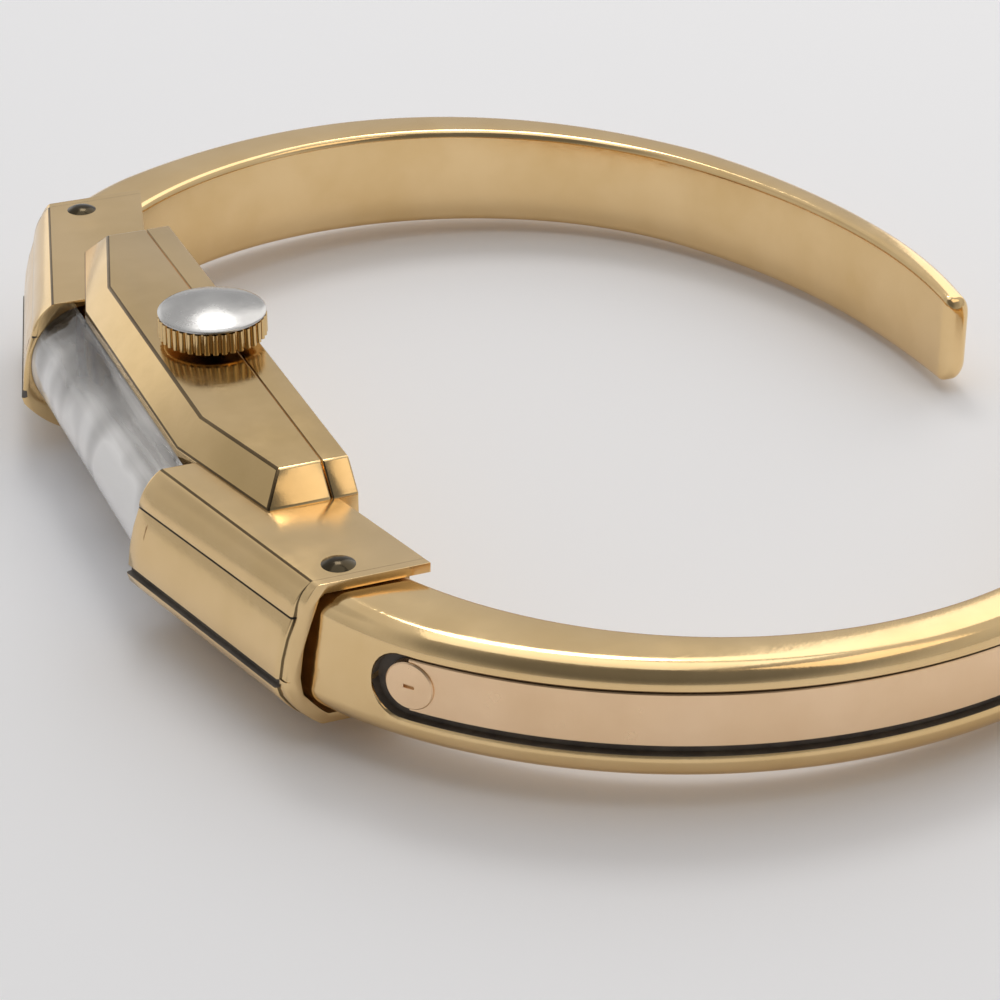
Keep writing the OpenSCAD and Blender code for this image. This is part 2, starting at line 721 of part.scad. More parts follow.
module barrel_bridge() {
  color("#d9d4c6") difference() {
    union() {
      translate([bridge_front, -plate_half_len + 0.2, -plate_half_w + 0.35])
        cube([bridge_back - bridge_front, plate_half_len + 0.9, 2 * (plate_half_w - 0.35)]);
      feet(barrel_feet);
      translate([-crown_x - 0.38, -0.38, pilot_z]) cube([crown_x + bridge_front + 0.38 + thin, 0.76, 0.7]);
    }
    arbor(barrel_at, bridge_front - 1, bridge_back + 1, 0.3 + pivot_clear);
    arbor([0, 0], bridge_front - 0.6, bridge_front + 0.21, 0.2 + pivot_clear);
    arbor(click_at, bridge_front + 0.1, bridge_back + 1, pivot_r + 0.04 + pivot_clear);
    difference() {
      arbor(crown_wheel_at, bridge_front + 0.22, bridge_back + 1, crown_wheel_r + 0.2);
      arbor(crown_wheel_at, bridge_front, bridge_back + 2, 0.5);
    }
    translate([bridge_front - 1, -0.8, winder_z - 0.06]) cube([3, 1.6, plate_half_w]);
    translate([-crown_x, 0, 0.5]) cylinder(r = 0.2 + fit, h = 1, $fn = 32);
    for (p = barrel_feet) arbor(p, bridge_front, bridge_back + 1, 0.22);
  }
}

module train_bridge() {
  color("#d9d4c6") difference() {
    union() {
      translate([bridge_front, 1.25, -plate_half_w + 0.35]) cube([bridge_back - bridge_front, 2.55, 2 * (plate_half_w - 0.35)]);
      translate([bridge_front, 3.7, -plate_half_w + 0.35]) cube([bridge_back - bridge_front, 2.15, 3]);
      translate([bridge_front, 3.7, -0.7]) cube([bridge_back - bridge_front, 0.85, 0.95]);
      feet(train_feet);
    }
    for (p = [third_at, fourth_at, escape_at]) arbor(p, bridge_front - 1, bridge_back + 1, jewel_r);
    arbor(crown_wheel_at, bridge_front + 0.22, bridge_back + 1, crown_wheel_r + 0.2);
    for (p = train_feet) arbor(p, bridge_front, bridge_back + 1, 0.22);
  }
}

module pallet_bridge() {
  x = pallet_bridge_level;
  foot = [6.9, -1.1];
  color("#d9d4c6") difference() {
    union() {
      translate([x, 5.85, -1.4]) cube([0.13, 1.35, 1.35]);
      arbor(foot, plate_back, x + thin, 0.3);
    }
    arbor(pallet_at, x - 1, x + 1, pivot_r - 0.02 + pivot_clear);
  }
}

module balance_cock() {
  color("#d9d4c6") difference() {
    union() {
      hull() {
        arbor(balance_at, bridge_back - 0.2, bridge_back + 0.2, 0.7);
        arbor(cock_foot, bridge_back - 0.2, bridge_back + 0.2, foot_r);
      }
      arbor(cock_foot, plate_back, bridge_back, foot_r);
    }
    arbor(balance_at, bridge_front, bridge_back + 1, jewel_r);
    arbor(cock_foot, bridge_front + 0.2, bridge_back + 1, 0.22);
  }
}

module screw(at, seat) {
  color("#5a6ea0") difference() {
    union() {
      arbor(at, seat - 0.4, seat, 0.22);
      arbor(at, seat, seat + 0.2, 0.4);
    }
    translate([seat + 0.1, at[0] - 0.5, at[1] - 0.05]) cube([1, 1, 0.1]);
  }
}

module bridge_screws() {
  for (p = concat(barrel_feet, train_feet)) screw(p, bridge_back);
  screw(cock_foot, bridge_back + 0.2);
  color("#5a6ea0") difference() {
    arbor(crown_wheel_at, bridge_back, top_back + 0.1, 0.5);
    translate([top_back, -1, crown_wheel_at[1] - 0.06]) cube([1, 2, 0.12]);
  }
}

module jewel(at, x, t, hole) {
  color("#b4304a") difference() {
    arbor(at, x, x + t, jewel_r);
    arbor(at, x - 1, x + t + 1, hole);
  }
}

module jewels() {
  big = pivot_r + pivot_clear;
  small = pivot_r - 0.02 + pivot_clear;
  low = plate_back - 0.41;
  for (p = [third_at, fourth_at]) {
    jewel(p, low, 0.3, big);
    jewel(p, bridge_front + 0.1, 0.3, big);
  }
  jewel(escape_at, low, 0.3, small);
  jewel(escape_at, bridge_front + 0.1, 0.3, small);
  jewel(pallet_at, low, 0.3, small);
  jewel(balance_at, low, 0.3, small);
  jewel(balance_at, bridge_back - 0.1, 0.3, small);
}

// The crown's parts share one axis along Z
module on_stem(z) {
  translate([-crown_x, 0, z]) children();
}

module stem_tube() {
  color("#c79a52") on_stem(room_w) difference() {
    cylinder(r = tube_r, h = side_half - room_w + 0.2, $fn = pin_fn);
    translate([0, 0, -1]) cylinder(r = stem_r + fit, h = 5, $fn = pin_fn);
  }
}

module stem() {
  color("#b8bcc2") {
    on_stem(clutch_z - 0.1) cylinder(r = stem_r, h = crown_z + 0.8 - clutch_z + 0.1, $fn = pin_fn);
    on_stem(pilot_z) cylinder(r = 0.2, h = clutch_z - pilot_z, $fn = 32);
  }
}

module crown_body() {
  step = 360 / flutes;
  color("#d0a45c") on_stem(crown_z) difference() {
    linear_extrude(crown_h) polygon([
      for (i = [0 : flutes - 1], k = [0 : 3])
        let (a = step * (i + [0, 0.2, 0.5, 0.7][k]), q = k < 2 ? crown_r - 0.18 : crown_r) [q * cos(a), q * sin(a)]
    ]);
    translate([0, 0, -1]) cylinder(r = tube_r + 0.1, h = 1.3, $fn = pin_fn);
    translate([0, 0, -1]) cylinder(r = stem_r, h = 1.8, $fn = pin_fn);
  }
}

module crown_cap() {
  edge = 0.12;
  dome_r = ((crown_r - 0.05) * (crown_r - 0.05) + cap_h * cap_h) / (2 * cap_h);
  color("#c9cccf") on_stem(cap_z) rotate_extrude() intersection() {
    translate([0, edge + cap_h - dome_r]) circle(r = dome_r, $fn = 256);
    square([crown_r - 0.05, edge + cap_h]);
  }
}

module winding_pinion() {
  color("#c8ccd2") on_stem(winder_z) difference() {
    linear_extrude(winder_len) polygon(tooth_points(winder_teeth, winder_r - 0.11, 0.14, 180 / winder_teeth));
    translate([0, 0, -1]) cylinder(r = stem_r + fit, h = 3, $fn = 32);
  }
}

module sliding_pinion() {
  color("#c8ccd2") on_stem(clutch_z) difference() {
    union() {
      linear_extrude(0.25) polygon(tooth_points(10, 0.42, 0.08, 0));
      cylinder(r = 0.38, h = clutch_len, $fn = 32);
    }
    translate([0, 0, -1]) cylinder(r = stem_r + fit, h = 3, $fn = 32);
  }
}

// Section of an end block, as [depth, height]: flat plates, two ribs and a flat band
function rib_curve(up) = [
  for (i = [0 : 8])
    let (t = i / 8, k = 4 * 0.17 * t * (1 - t), rise = band_half + groove_w - hood_half,
         n = [rise, hood_bulge] / norm([rise, hood_bulge]))
    [-hood_bulge * t + k * n[0], up * (hood_half + rise * t + k * n[1])]
];

function hood_section(grooved) = concat(
  [[plate_w, -hood_half], [plate_w, hood_half]],
  rib_curve(1),
  grooved ? [[-hood_bulge + groove_d, band_half + groove_w], [-hood_bulge + groove_d, band_half]] : [],
  [[-hood_bulge, band_half], [-hood_bulge, -band_half]],
  grooved ? [[-hood_bulge + groove_d, -band_half], [-hood_bulge + groove_d, -band_half - groove_w]] : [],
  [for (i = [8 : -1 : 0]) rib_curve(-1)[i]]
);

// The same section, drawn in by the walls, and open towards the wrist
function hood_inside_section() = [
  [plate_w + 1, -hood_inside], [plate_w + 1, hood_inside], [0.2, hood_inside],
  [-0.1, hood_inside - 0.25], [-hood_bulge + hood_wall + 0.05, band_half], [-hood_bulge + hood_wall, band_half - 0.4],
  [-hood_bulge + hood_wall, -band_half + 0.4], [-hood_bulge + hood_wall + 0.05, -band_half],
  [-0.1, -hood_inside + 0.25], [0.2, -hood_inside]
];

module along_block(from, to) {
  translate([0, to, 0]) rotate([90, 0, 0]) linear_extrude(to - from) children();
}

module end_block(side) {
  color("#cfa357") difference() {
    block_place(side) difference() {
      union() {
        along_block(0, hood_len - rim_len) polygon(hood_section(true));
        along_block(hood_len - rim_len - thin, hood_len) polygon(hood_section(false));
      }
      along_block(-1, web_at) polygon(hood_inside_section());
      along_block(web_at + web_t, hood_len + 1) polygon(hood_inside_section());
      translate([pin_depth, pin_u, -10]) cylinder(r = pin_r, h = 20, $fn = pin_fn);
    }
    translate([front_x, -core_y, -10]) cube([20, 2 * core_y, 20]);
    translate([front_x + glass_axis, side * (glass_half + fit), 0]) rotate([side * 90, 0, 0])
      cylinder(r = glass_r + fit, h = 4, $fn = 96);
  }
}

module end_block_12() { end_block(1); }
module end_block_6() { end_block(-1); }

module hinge_pin(side) {
  head_h = 0.24;
  ball = (pin_head_r * pin_head_r + head_h * head_h) / (2 * head_h);
  foot_h = 0.2;
  color("#5b4a33") block_place(side) translate([pin_depth, pin_u, 0]) {
    translate([0, 0, -hood_half - foot_h]) cylinder(r = pin_r, h = 2 * hood_half + foot_h + thin, $fn = pin_fn);
    translate([0, 0, hood_half]) rotate_extrude($fn = pin_fn) intersection() {
      translate([0, head_h - ball]) circle(r = ball, $fn = 96);
      square([pin_head_r, head_h]);
    }
  }
}

module hinge_pin_12() { hinge_pin(1); }
module hinge_pin_6() { hinge_pin(-1); }

// A bent leaf between the web and the arm's knuckle, which holds the arm where it is put
module hinge_leaf(side) {
  seat = web_at + web_t;
  crest = pin_u - knuckle_r - fit;
  t = 0.18;
  color("#9aa0a6") block_place(side) translate([pin_depth, 0, -arm_half + 0.4])
    linear_extrude(2 * (arm_half - 0.4)) polygon([
      [-1.7, seat], [-0.5, crest - t], [0.5, crest - t], [1.7, seat], [1.95, seat],
      [0.6, crest], [-0.6, crest], [-1.95, seat]
    ]);
}

module hinge_leaf_12() { hinge_leaf(1); }
module hinge_leaf_6() { hinge_leaf(-1); }

// Thickness of an arm along a ray from the bend's centre, in the thick root and past it
function root_t(a) =
  let (along = root_shift * cos(a - root_from))
  sqrt(root_r * root_r - root_shift * root_shift + along * along) - along - bend_r;

function steps(from, to, count) = [for (i = [0 : count]) from + (to - from) * i / count];

// Stations along an arm, as [centre, angle, inner radius, thickness]
function root_stations(from, to, count) = [for (a = steps(from, to, count)) [bend, a, bend_r, root_t(a)]];
function bend_stations(count) = [
  for (i = [1 : count]) [bend, root_from + (back_from - root_from) * i / count, bend_r, arm_t]
];
function back_t(a) = tip_t + (arm_t - tip_t) * (a - tip_at) / (back_from - tip_at);
function back_stations(to, count) = [
  for (i = [1 : count]) let (a = back_from + (to - back_from) * i / count) [back, a, back_r, back_t(a)]
];
function tip_stations(count) = [
  for (i = [1 : count])
    let (f = 80 * i / count, less = tip_round * (1 - cos(f)))
    [back, tip_at - tip_round * sin(f) * 180 / (PI * back_r), back_r + less, tip_t - 2 * less]
];

// A point at a depth and a height in a station's own section
function placed(st, q, z) = [st[0][0] + (st[2] + q) * cos(st[1]), st[0][1] + (st[2] + q) * sin(st[1]), z];

function shoulder_ring(st, up, order) = [
  for (i = order) let (a = 90 - 15 * i, s = min(shoulder, st[3] / 2))
    placed(st, st[3] - s + s * cos(a), up * (face_half + (arm_half - face_half) * sin(a)))
];

function arm_ring(st, d) = concat(
  [placed(st, edge_ease, -arm_half)],
  shoulder_ring(st, -1, [0 : 6]),
  [placed(st, st[3], -channel_half), placed(st, st[3] - d, -channel_half + thin)],
  [placed(st, st[3] - d, channel_half - thin), placed(st, st[3], channel_half)],
  shoulder_ring(st, 1, [6 : -1 : 0]),
  [placed(st, edge_ease, arm_half), placed(st, 0, arm_half - edge_ease), placed(st, 0, -arm_half + edge_ease)]
);

function strip_ring(st) = [
  placed(st, st[3] - channel_d, -strip_half), placed(st, st[3] - channel_d + strip_t, -strip_half),
  placed(st, st[3] - channel_d + strip_t, strip_half), placed(st, st[3] - channel_d, strip_half)
];

// A solid through rings of points, which run anticlockwise seen against the sweep
module loft(rings) {
  n = len(rings[0]);
  m = len(rings);
  polyhedron(points = [for (r = rings) each r], faces = concat(
    [[for (i = [0 : n - 1]) i]],
    [for (j = [0 : m - 2], i = [0 : n - 1]) [j * n + i, (j + 1) * n + i, (j + 1) * n + (i + 1) % n]],
    [for (j = [0 : m - 2], i = [0 : n - 1]) [j * n + i, (j + 1) * n + (i + 1) % n, j * n + (i + 1) % n]],
    [[for (i = [n - 1 : -1 : 0]) (m - 1) * n + i]]
  ));
}

channel_stations = concat(root_stations(rivet_at, root_from, 18), bend_stations(10), back_stations(rivet_tip_at, 9));

module at_rivets(depth) {
  foot = placed([bend, rivet_at, bend_r, root_t(rivet_at)], root_t(rivet_at), 0);
  translate(foot) rotate([0, 0, atan2(foot[1] - root[1], foot[0] - root[0])])
    translate([-depth, 0, 0]) rotate([0, 90, 0]) children();
  tip_foot_t = back_t(rivet_tip_at);
  lean = atan((arm_t - tip_t) * 180 / (PI * (back_from - tip_at) * (back_r + tip_foot_t)));
  translate(placed([back, rivet_tip_at, back_r, tip_foot_t], tip_foot_t, 0)) rotate([0, 0, rivet_tip_at - lean])
    translate([-depth, 0, 0]) rotate([0, 90, 0]) children();
}

module arm_form() {
  last = [back, rivet_tip_at - 0.5, back_r, back_t(rivet_tip_at - 0.5)];
  difference() {
    union() {
      loft(concat(
        [for (st = root_stations(pin_angle, rivet_at + 1, 3)) arm_ring(st, 0)],
        [for (st = channel_stations) arm_ring(st, channel_d)],
        [arm_ring(last, 0), arm_ring([back, tip_at, back_r, tip_t], 0)],
        [for (st = tip_stations(5)) arm_ring(st, 0)]
      ));
      translate([pin_x, pin_y, -arm_half]) cylinder(r = knuckle_r, h = 2 * arm_half, $fn = 96);
    }
    at_rivets(channel_d) cylinder(r = channel_half + 0.05, h = 3, $fn = 48);
    translate([pin_x, pin_y, -10]) cylinder(r = pin_r + pin_clear, h = 20, $fn = pin_fn);
  }
}

module strip_form() {
  difference() {
    loft([for (st = channel_stations) strip_ring(st)]);
    at_rivets(channel_d + 1) cylinder(r = rivet_r + 0.02, h = 4, $fn = 48);
  }
}

module rivets_form() {
  at_rivets(channel_d) difference() {
    cylinder(r = rivet_r, h = rivet_t, $fn = 48);
    translate([0, 0, rivet_t - 0.15]) cylinder(r = 0.15, h = 1, $fn = 24);
  }
}

// The 12 o'clock arm rests closed, and the 6 o'clock arm is its mirror image swung open
module arm_place(side) {
  if (side > 0) children();
  else translate([pin_x, -pin_y, 0]) rotate([0, 0, -open_6]) translate([-pin_x, pin_y, 0]) mirror([0, 1, 0]) children();
}

module arm_12() { color("#cda456") arm_place(1) arm_form(); }
module arm_6() { color("#cda456") arm_place(-1) arm_form(); }
module inlay_strip_12() { color("#d9b184") arm_place(1) strip_form(); }
module inlay_strip_6() { color("#d9b184") arm_place(-1) strip_form(); }
module strip_rivets_12() { color("#d9b184") arm_place(1) rivets_form(); }
module strip_rivets_6() { color("#d9b184") arm_place(-1) rivets_form(); }

case_body();
case_back();
crystal();
dial();
hour_markers();
dial_spacer();
hour_hand();
minute_hand();
main_plate();
barrel_bridge();
train_bridge();
pallet_bridge();
balance_cock();
bridge_screws();
jewels();
barrel_drum();
barrel_cover();
mainspring();
barrel_arbor();
ratchet_wheel();
crown_wheel();
click();
centre_wheel();
cannon_pinion();
third_wheel();
fourth_wheel();
escape_wheel();
pallet_fork();
balance_wheel();
hairspring();
minute_wheel();
hour_wheel();
setting_wheel();
stem_tube();
stem();
crown_body();
crown_cap();
winding_pinion();
sliding_pinion();
end_block_12();
end_block_6();
hinge_pin_12();
hinge_pin_6();
hinge_leaf_12();
hinge_leaf_6();
arm_12();
arm_6();
inlay_strip_12();
inlay_strip_6();
strip_rivets_12();
strip_rivets_6();
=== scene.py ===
import json
from math import atan2, cos, degrees, hypot, pi, radians, sin, sqrt

import bmesh
import bpy
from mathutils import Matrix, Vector


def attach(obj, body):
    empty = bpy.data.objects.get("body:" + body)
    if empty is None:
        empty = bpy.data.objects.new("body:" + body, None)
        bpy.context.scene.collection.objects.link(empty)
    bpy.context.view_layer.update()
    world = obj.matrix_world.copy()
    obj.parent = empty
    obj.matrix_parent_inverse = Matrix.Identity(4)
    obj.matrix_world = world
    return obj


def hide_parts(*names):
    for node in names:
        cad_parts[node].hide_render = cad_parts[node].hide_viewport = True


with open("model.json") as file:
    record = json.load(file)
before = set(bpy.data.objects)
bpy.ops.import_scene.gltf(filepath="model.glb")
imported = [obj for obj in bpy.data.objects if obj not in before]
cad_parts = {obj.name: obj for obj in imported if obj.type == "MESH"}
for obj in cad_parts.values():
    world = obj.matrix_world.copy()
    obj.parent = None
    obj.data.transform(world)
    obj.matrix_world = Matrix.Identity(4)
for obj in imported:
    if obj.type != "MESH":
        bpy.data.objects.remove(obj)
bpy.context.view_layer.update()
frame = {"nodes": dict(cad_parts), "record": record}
mm = 0.001
print("frame loaded")


# Shapes are written in millimetres and made in metres.

def smoothPiece(piece, sharpAngle):
    for polygon in piece.data.polygons:
        polygon.use_smooth = True
    piece.data.set_sharp_from_angle(angle=radians(sharpAngle))


def finishMesh(name, verts, faces, material, sharpAngle=32.0, extras=()):
    mesh = bpy.data.meshes.new(name)
    mesh.from_pydata([tuple(c * mm for c in v) for v in verts], [], faces)
    mesh.materials.append(material)
    for n, (extra, chosen) in enumerate(extras):
        mesh.materials.append(extra)
        for i in chosen:
            mesh.polygons[i].material_index = n + 1
    work = bmesh.new()
    work.from_mesh(mesh)
    bmesh.ops.remove_doubles(work, verts=work.verts, dist=0.0004 * mm)
    bmesh.ops.dissolve_degenerate(work, edges=work.edges, dist=1e-8)
    bmesh.ops.recalc_face_normals(work, faces=work.faces)
    work.to_mesh(mesh)
    work.free()
    piece = bpy.data.objects.new(name, mesh)
    bpy.context.scene.collection.objects.link(piece)
    smoothPiece(piece, sharpAngle)
    return piece


def applyModifiers(piece, sharpAngle=None):
    bpy.context.view_layer.update()
    solved = piece.evaluated_get(bpy.context.evaluated_depsgraph_get())
    mesh = bpy.data.meshes.new_from_object(solved)
    piece.modifiers.clear()
    old = piece.data
    piece.data = mesh
    bpy.data.meshes.remove(old)
    mesh.name = piece.name
    if sharpAngle is not None:
        smoothPiece(piece, sharpAngle)


# A softened edge keeps the dark crease metal, which paints shade along the crease, only where it faces the
# front and up.
creaseShadeFacing = {"front": -0.12, "up": 0.3}


def softenEdges(piece, width, segments=3, angle=30.0, creaseShade=None):
    bevel = piece.modifiers.new("softEdges", "BEVEL")
    if creaseShade is not None:
        piece.data.materials.append(creaseShade)
        bevel.material = len(piece.data.materials) - 1
    bevel.width = width * mm
    bevel.segments = segments
    bevel.limit_method = "ANGLE"
    bevel.angle_limit = radians(angle)
    applyModifiers(piece, 50.0)
    if creaseShade is not None:
        creaseShadeIndex = len(piece.data.materials) - 1
        for polygon in piece.data.polygons:
            shown = polygon.normal.x < creaseShadeFacing["front"] and polygon.normal.z > creaseShadeFacing["up"]
            if polygon.material_index == creaseShadeIndex and not shown:
                polygon.material_index = 0


boxQuads = [(0, 1, 3, 2), (4, 6, 7, 5), (0, 4, 5, 1), (2, 3, 7, 6), (0, 2, 6, 4), (1, 5, 7, 3)]


def boxParts(lowCorner, highCorner):
    xs, ys, zs = zip(lowCorner, highCorner)
    verts = [(xs[i], ys[j], zs[k]) for i in (0, 1) for j in (0, 1) for k in (0, 1)]
    return verts, boxQuads


def cutOut(piece, boxes):
    cutters = []
    for n, (verts, faces) in enumerate(boxes):
        cutter = finishMesh("cutter%d" % n, verts, faces, piece.data.materials[0])
        cut = piece.modifiers.new("cut", "BOOLEAN")
        cut.operation = "DIFFERENCE"
        cut.solver = "EXACT"
        cut.object = cutter
        cutters.append(cutter)
    applyModifiers(piece)
    for cutter in cutters:
        bpy.data.objects.remove(cutter)


def loftFaces(ringCount, pointCount):
    faces = []
    for j in range(ringCount - 1):
        for i in range(pointCount):
            k = (i + 1) % pointCount
            a, b = j * pointCount, (j + 1) * pointCount
            faces.append((a + i, b + i, b + k, a + k))
    faces.append(tuple(range(pointCount)))
    faces.append(tuple((ringCount - 1) * pointCount + i for i in reversed(range(pointCount))))
    return faces


def steps(first, last, count):
    return [first + (last - first) * i / count for i in range(count + 1)]


# Materials read Object coordinates, so their patterns stay with each piece.

def newMaterial(name):
    material = bpy.data.materials.new(name)
    material.use_nodes = True
    nodes, links = material.node_tree.nodes, material.node_tree.links
    shader = next(n for n in nodes if n.type == "BSDF_PRINCIPLED")
    return material, nodes, links, shader


def noiseNode(nodes, links, coordinate, scale, detail=4.0, roughness=0.6, stretch=(1, 1, 1)):
    mapping = nodes.new("ShaderNodeMapping")
    mapping.inputs["Scale"].default_value = stretch
    noise = nodes.new("ShaderNodeTexNoise")
    noise.inputs["Scale"].default_value = scale
    noise.inputs["Detail"].default_value = detail
    noise.inputs["Roughness"].default_value = roughness
    links.new(coordinate, mapping.inputs["Vector"])
    links.new(mapping.outputs["Vector"], noise.inputs["Vector"])
    return noise.outputs["Fac"]


def ramp(nodes, links, source, low, high, lowValue, highValue):
    spread = nodes.new("ShaderNodeMapRange")
    spread.inputs["From Min"].default_value = low
    spread.inputs["From Max"].default_value = high
    spread.inputs["To Min"].default_value = lowValue
    spread.inputs["To Max"].default_value = highValue
    links.new(source, spread.inputs["Value"])
    return spread.outputs["Result"]


# A noise is its scale, detail and roughness, and a fade is where it starts and ends and what it gives.
# Grain and scratches take their scale from each metal.
metalNoise = {
    "tint": (160.0, 5.0, 0.55), "tintFade": (0.35, 0.65, 0.0, 1.0),
    "wear": (420.0, 6.0, 0.65), "wearFade": (0.3, 0.72), "grain": (3.0, 0.7),
    "scratches": (2.0, 0.5), "scratchScale": 0.4, "scratchFade": (0.62, 0.7, 0.0, 0.6),
    "scratchSlant": 0.06, "scratchLeast": 0.02, "scratchUp": 0.7, "depth": 0.00001,
}


def metalMaterial(name, pale, deep, smooth, dull, scratch=0.3, grain=(1, 1, 1), grainScale=2600.0):
    material, nodes, links, shader = newMaterial(name)
    place = nodes.new("ShaderNodeTexCoord")
    source = place.outputs["Object"]
    tint = noiseNode(nodes, links, source, *metalNoise["tint"])
    colour = nodes.new("ShaderNodeMix")
    colour.data_type = "RGBA"
    colour.inputs["A"].default_value = (*deep, 1)
    colour.inputs["B"].default_value = (*pale, 1)
    links.new(ramp(nodes, links, tint, *metalNoise["tintFade"]), colour.inputs["Factor"])
    links.new(colour.outputs["Result"], shader.inputs["Base Color"])
    shader.inputs["Metallic"].default_value = 1.0
    wear = noiseNode(nodes, links, source, *metalNoise["wear"])
    links.new(ramp(nodes, links, wear, *metalNoise["wearFade"], smooth, dull), shader.inputs["Roughness"])
    fine = noiseNode(nodes, links, source, grainScale, *metalNoise["grain"], grain)
    across = (grain[1] * metalNoise["scratchSlant"] + metalNoise["scratchLeast"], grain[0],
              grain[2] * metalNoise["scratchUp"])
    scratchScale = grainScale * metalNoise["scratchScale"]
    lines = noiseNode(nodes, links, source, scratchScale, *metalNoise["scratches"], across)
    both = nodes.new("ShaderNodeMath")
    both.operation = "ADD"
    links.new(fine, both.inputs[0])
    links.new(ramp(nodes, links, lines, *metalNoise["scratchFade"]), both.inputs[1])
    bump = nodes.new("ShaderNodeBump")
    bump.inputs["Strength"].default_value = scratch
    bump.inputs["Distance"].default_value = metalNoise["depth"]
    links.new(both.outputs[0], bump.inputs["Height"])
    links.new(bump.outputs["Normal"], shader.inputs["Normal"])
    return material


paintNoise = {"speckle": (900.0, 4.0, 0.6), "fade": (0.3, 0.7, 0.0, 1.0), "bump": 0.2, "depth": 0.000008}


def paintMaterial(name, base, shade, roughness, metallic=0.0):
    material, nodes, links, shader = newMaterial(name)
    place = nodes.new("ShaderNodeTexCoord")
    speckle = noiseNode(nodes, links, place.outputs["Object"], *paintNoise["speckle"])
    colour = nodes.new("ShaderNodeMix")
    colour.data_type = "RGBA"
    colour.inputs["A"].default_value = (*shade, 1)
    colour.inputs["B"].default_value = (*base, 1)
    links.new(ramp(nodes, links, speckle, *paintNoise["fade"]), colour.inputs["Factor"])
    links.new(colour.outputs["Result"], shader.inputs["Base Color"])
    shader.inputs["Roughness"].default_value = roughness
    shader.inputs["Metallic"].default_value = metallic
    bump = nodes.new("ShaderNodeBump")
    bump.inputs["Strength"].default_value = paintNoise["bump"]
    bump.inputs["Distance"].default_value = paintNoise["depth"]
    links.new(speckle, bump.inputs["Height"])
    links.new(bump.outputs["Normal"], shader.inputs["Normal"])
    return material


glassSmear = {
    "noise": (260.0, 4.0, 0.6, (1, 0.25, 1)), "fade": (0.35, 0.75), "polished": 0.4,
    "bump": 0.08, "depth": 0.00002,
}

# The crystal's haze is partly real wear and partly painted light. Noise round the barrel, and along it near
# the top, paints reflection streaks. Painted shade makes it darker towards the top, and painted light makes
# it lighter at the near end.
crystalHazeAndPaintedLight = {
    "amount": 0.92, "round": (330.0, 1.0, 0.4, (0.12, 1.0, 0.35)),
    "along": (900.0, 3.0, 0.5, (0.8, 0.05, 1.0)),
    "alongFrom": (0.0014, 0.0026, 0.0, 1.0), "paintedReflectionStreaks": (0.36, 0.64, 1.05, 0.2),
    "paintedShadeUp": (0.0, 0.0028, -0.3, 0.4), "paintedLightNear": (-0.004, 0.009, 0.28, -0.28),
    "deep": (0.76, 0.74, 0.72, 1), "pale": (0.98, 0.96, 0.94, 1), "paleFrom": (0.0, 0.9, 0.0, 1.0),
}


def glassMaterial(name, tint, roughness, ior, hazeAndPaintedLight=None):
    material, nodes, links, shader = newMaterial(name)
    place = nodes.new("ShaderNodeTexCoord")
    smear = noiseNode(nodes, links, place.outputs["Object"], *glassSmear["noise"])
    shader.inputs["Base Color"].default_value = (*tint, 1)
    shader.inputs["IOR"].default_value = ior
    dullness = ramp(nodes, links, smear, *glassSmear["fade"], roughness * glassSmear["polished"], roughness)
    links.new(dullness, shader.inputs["Roughness"])
    bump = nodes.new("ShaderNodeBump")
    bump.inputs["Strength"].default_value = glassSmear["bump"]
    bump.inputs["Distance"].default_value = glassSmear["depth"]
    links.new(smear, bump.inputs["Height"])
    links.new(bump.outputs["Normal"], shader.inputs["Normal"])
    if hazeAndPaintedLight is None:
        shader.inputs["Transmission Weight"].default_value = 1.0
        return material
    rings = noiseNode(nodes, links, place.outputs["Object"], *hazeAndPaintedLight["round"])
    lines = noiseNode(nodes, links, place.outputs["Object"], *hazeAndPaintedLight["along"])
    parts = nodes.new("ShaderNodeSeparateXYZ")
    links.new(place.outputs["Object"], parts.inputs["Vector"])
    # Painted reflection streaks, painted shade at the top and painted light at the near end set how clear and
    # how grey the crystal is.
    paintedStreak = nodes.new("ShaderNodeMix")
    links.new(ramp(nodes, links, parts.outputs["Z"], *hazeAndPaintedLight["alongFrom"]), paintedStreak.inputs["Factor"])
    links.new(rings, paintedStreak.inputs["A"])
    links.new(lines, paintedStreak.inputs["B"])
    lower = nodes.new("ShaderNodeMath")
    lower.operation = "SUBTRACT"
    links.new(ramp(nodes, links, paintedStreak.outputs["Result"], *hazeAndPaintedLight["paintedReflectionStreaks"]), lower.inputs[0])
    links.new(ramp(nodes, links, parts.outputs["Z"], *hazeAndPaintedLight["paintedShadeUp"]), lower.inputs[1])
    shade = nodes.new("ShaderNodeMath")
    shade.operation = "ADD"
    links.new(lower.outputs[0], shade.inputs[0])
    links.new(ramp(nodes, links, parts.outputs["Y"], *hazeAndPaintedLight["paintedLightNear"]), shade.inputs[1])
    clear = ramp(nodes, links, shade.outputs[0], 0.0, 1.0, 1.0, 1.0 - hazeAndPaintedLight["amount"])
    links.new(clear, shader.inputs["Transmission Weight"])
    grey = nodes.new("ShaderNodeMix")
    grey.data_type = "RGBA"
    grey.inputs["A"].default_value = hazeAndPaintedLight["deep"]
    grey.inputs["B"].default_value = hazeAndPaintedLight["pale"]
    links.new(ramp(nodes, links, shade.outputs[0], *hazeAndPaintedLight["paleFrom"]), grey.inputs["Factor"])
    links.new(grey.outputs["Result"], shader.inputs["Base Color"])
    return material


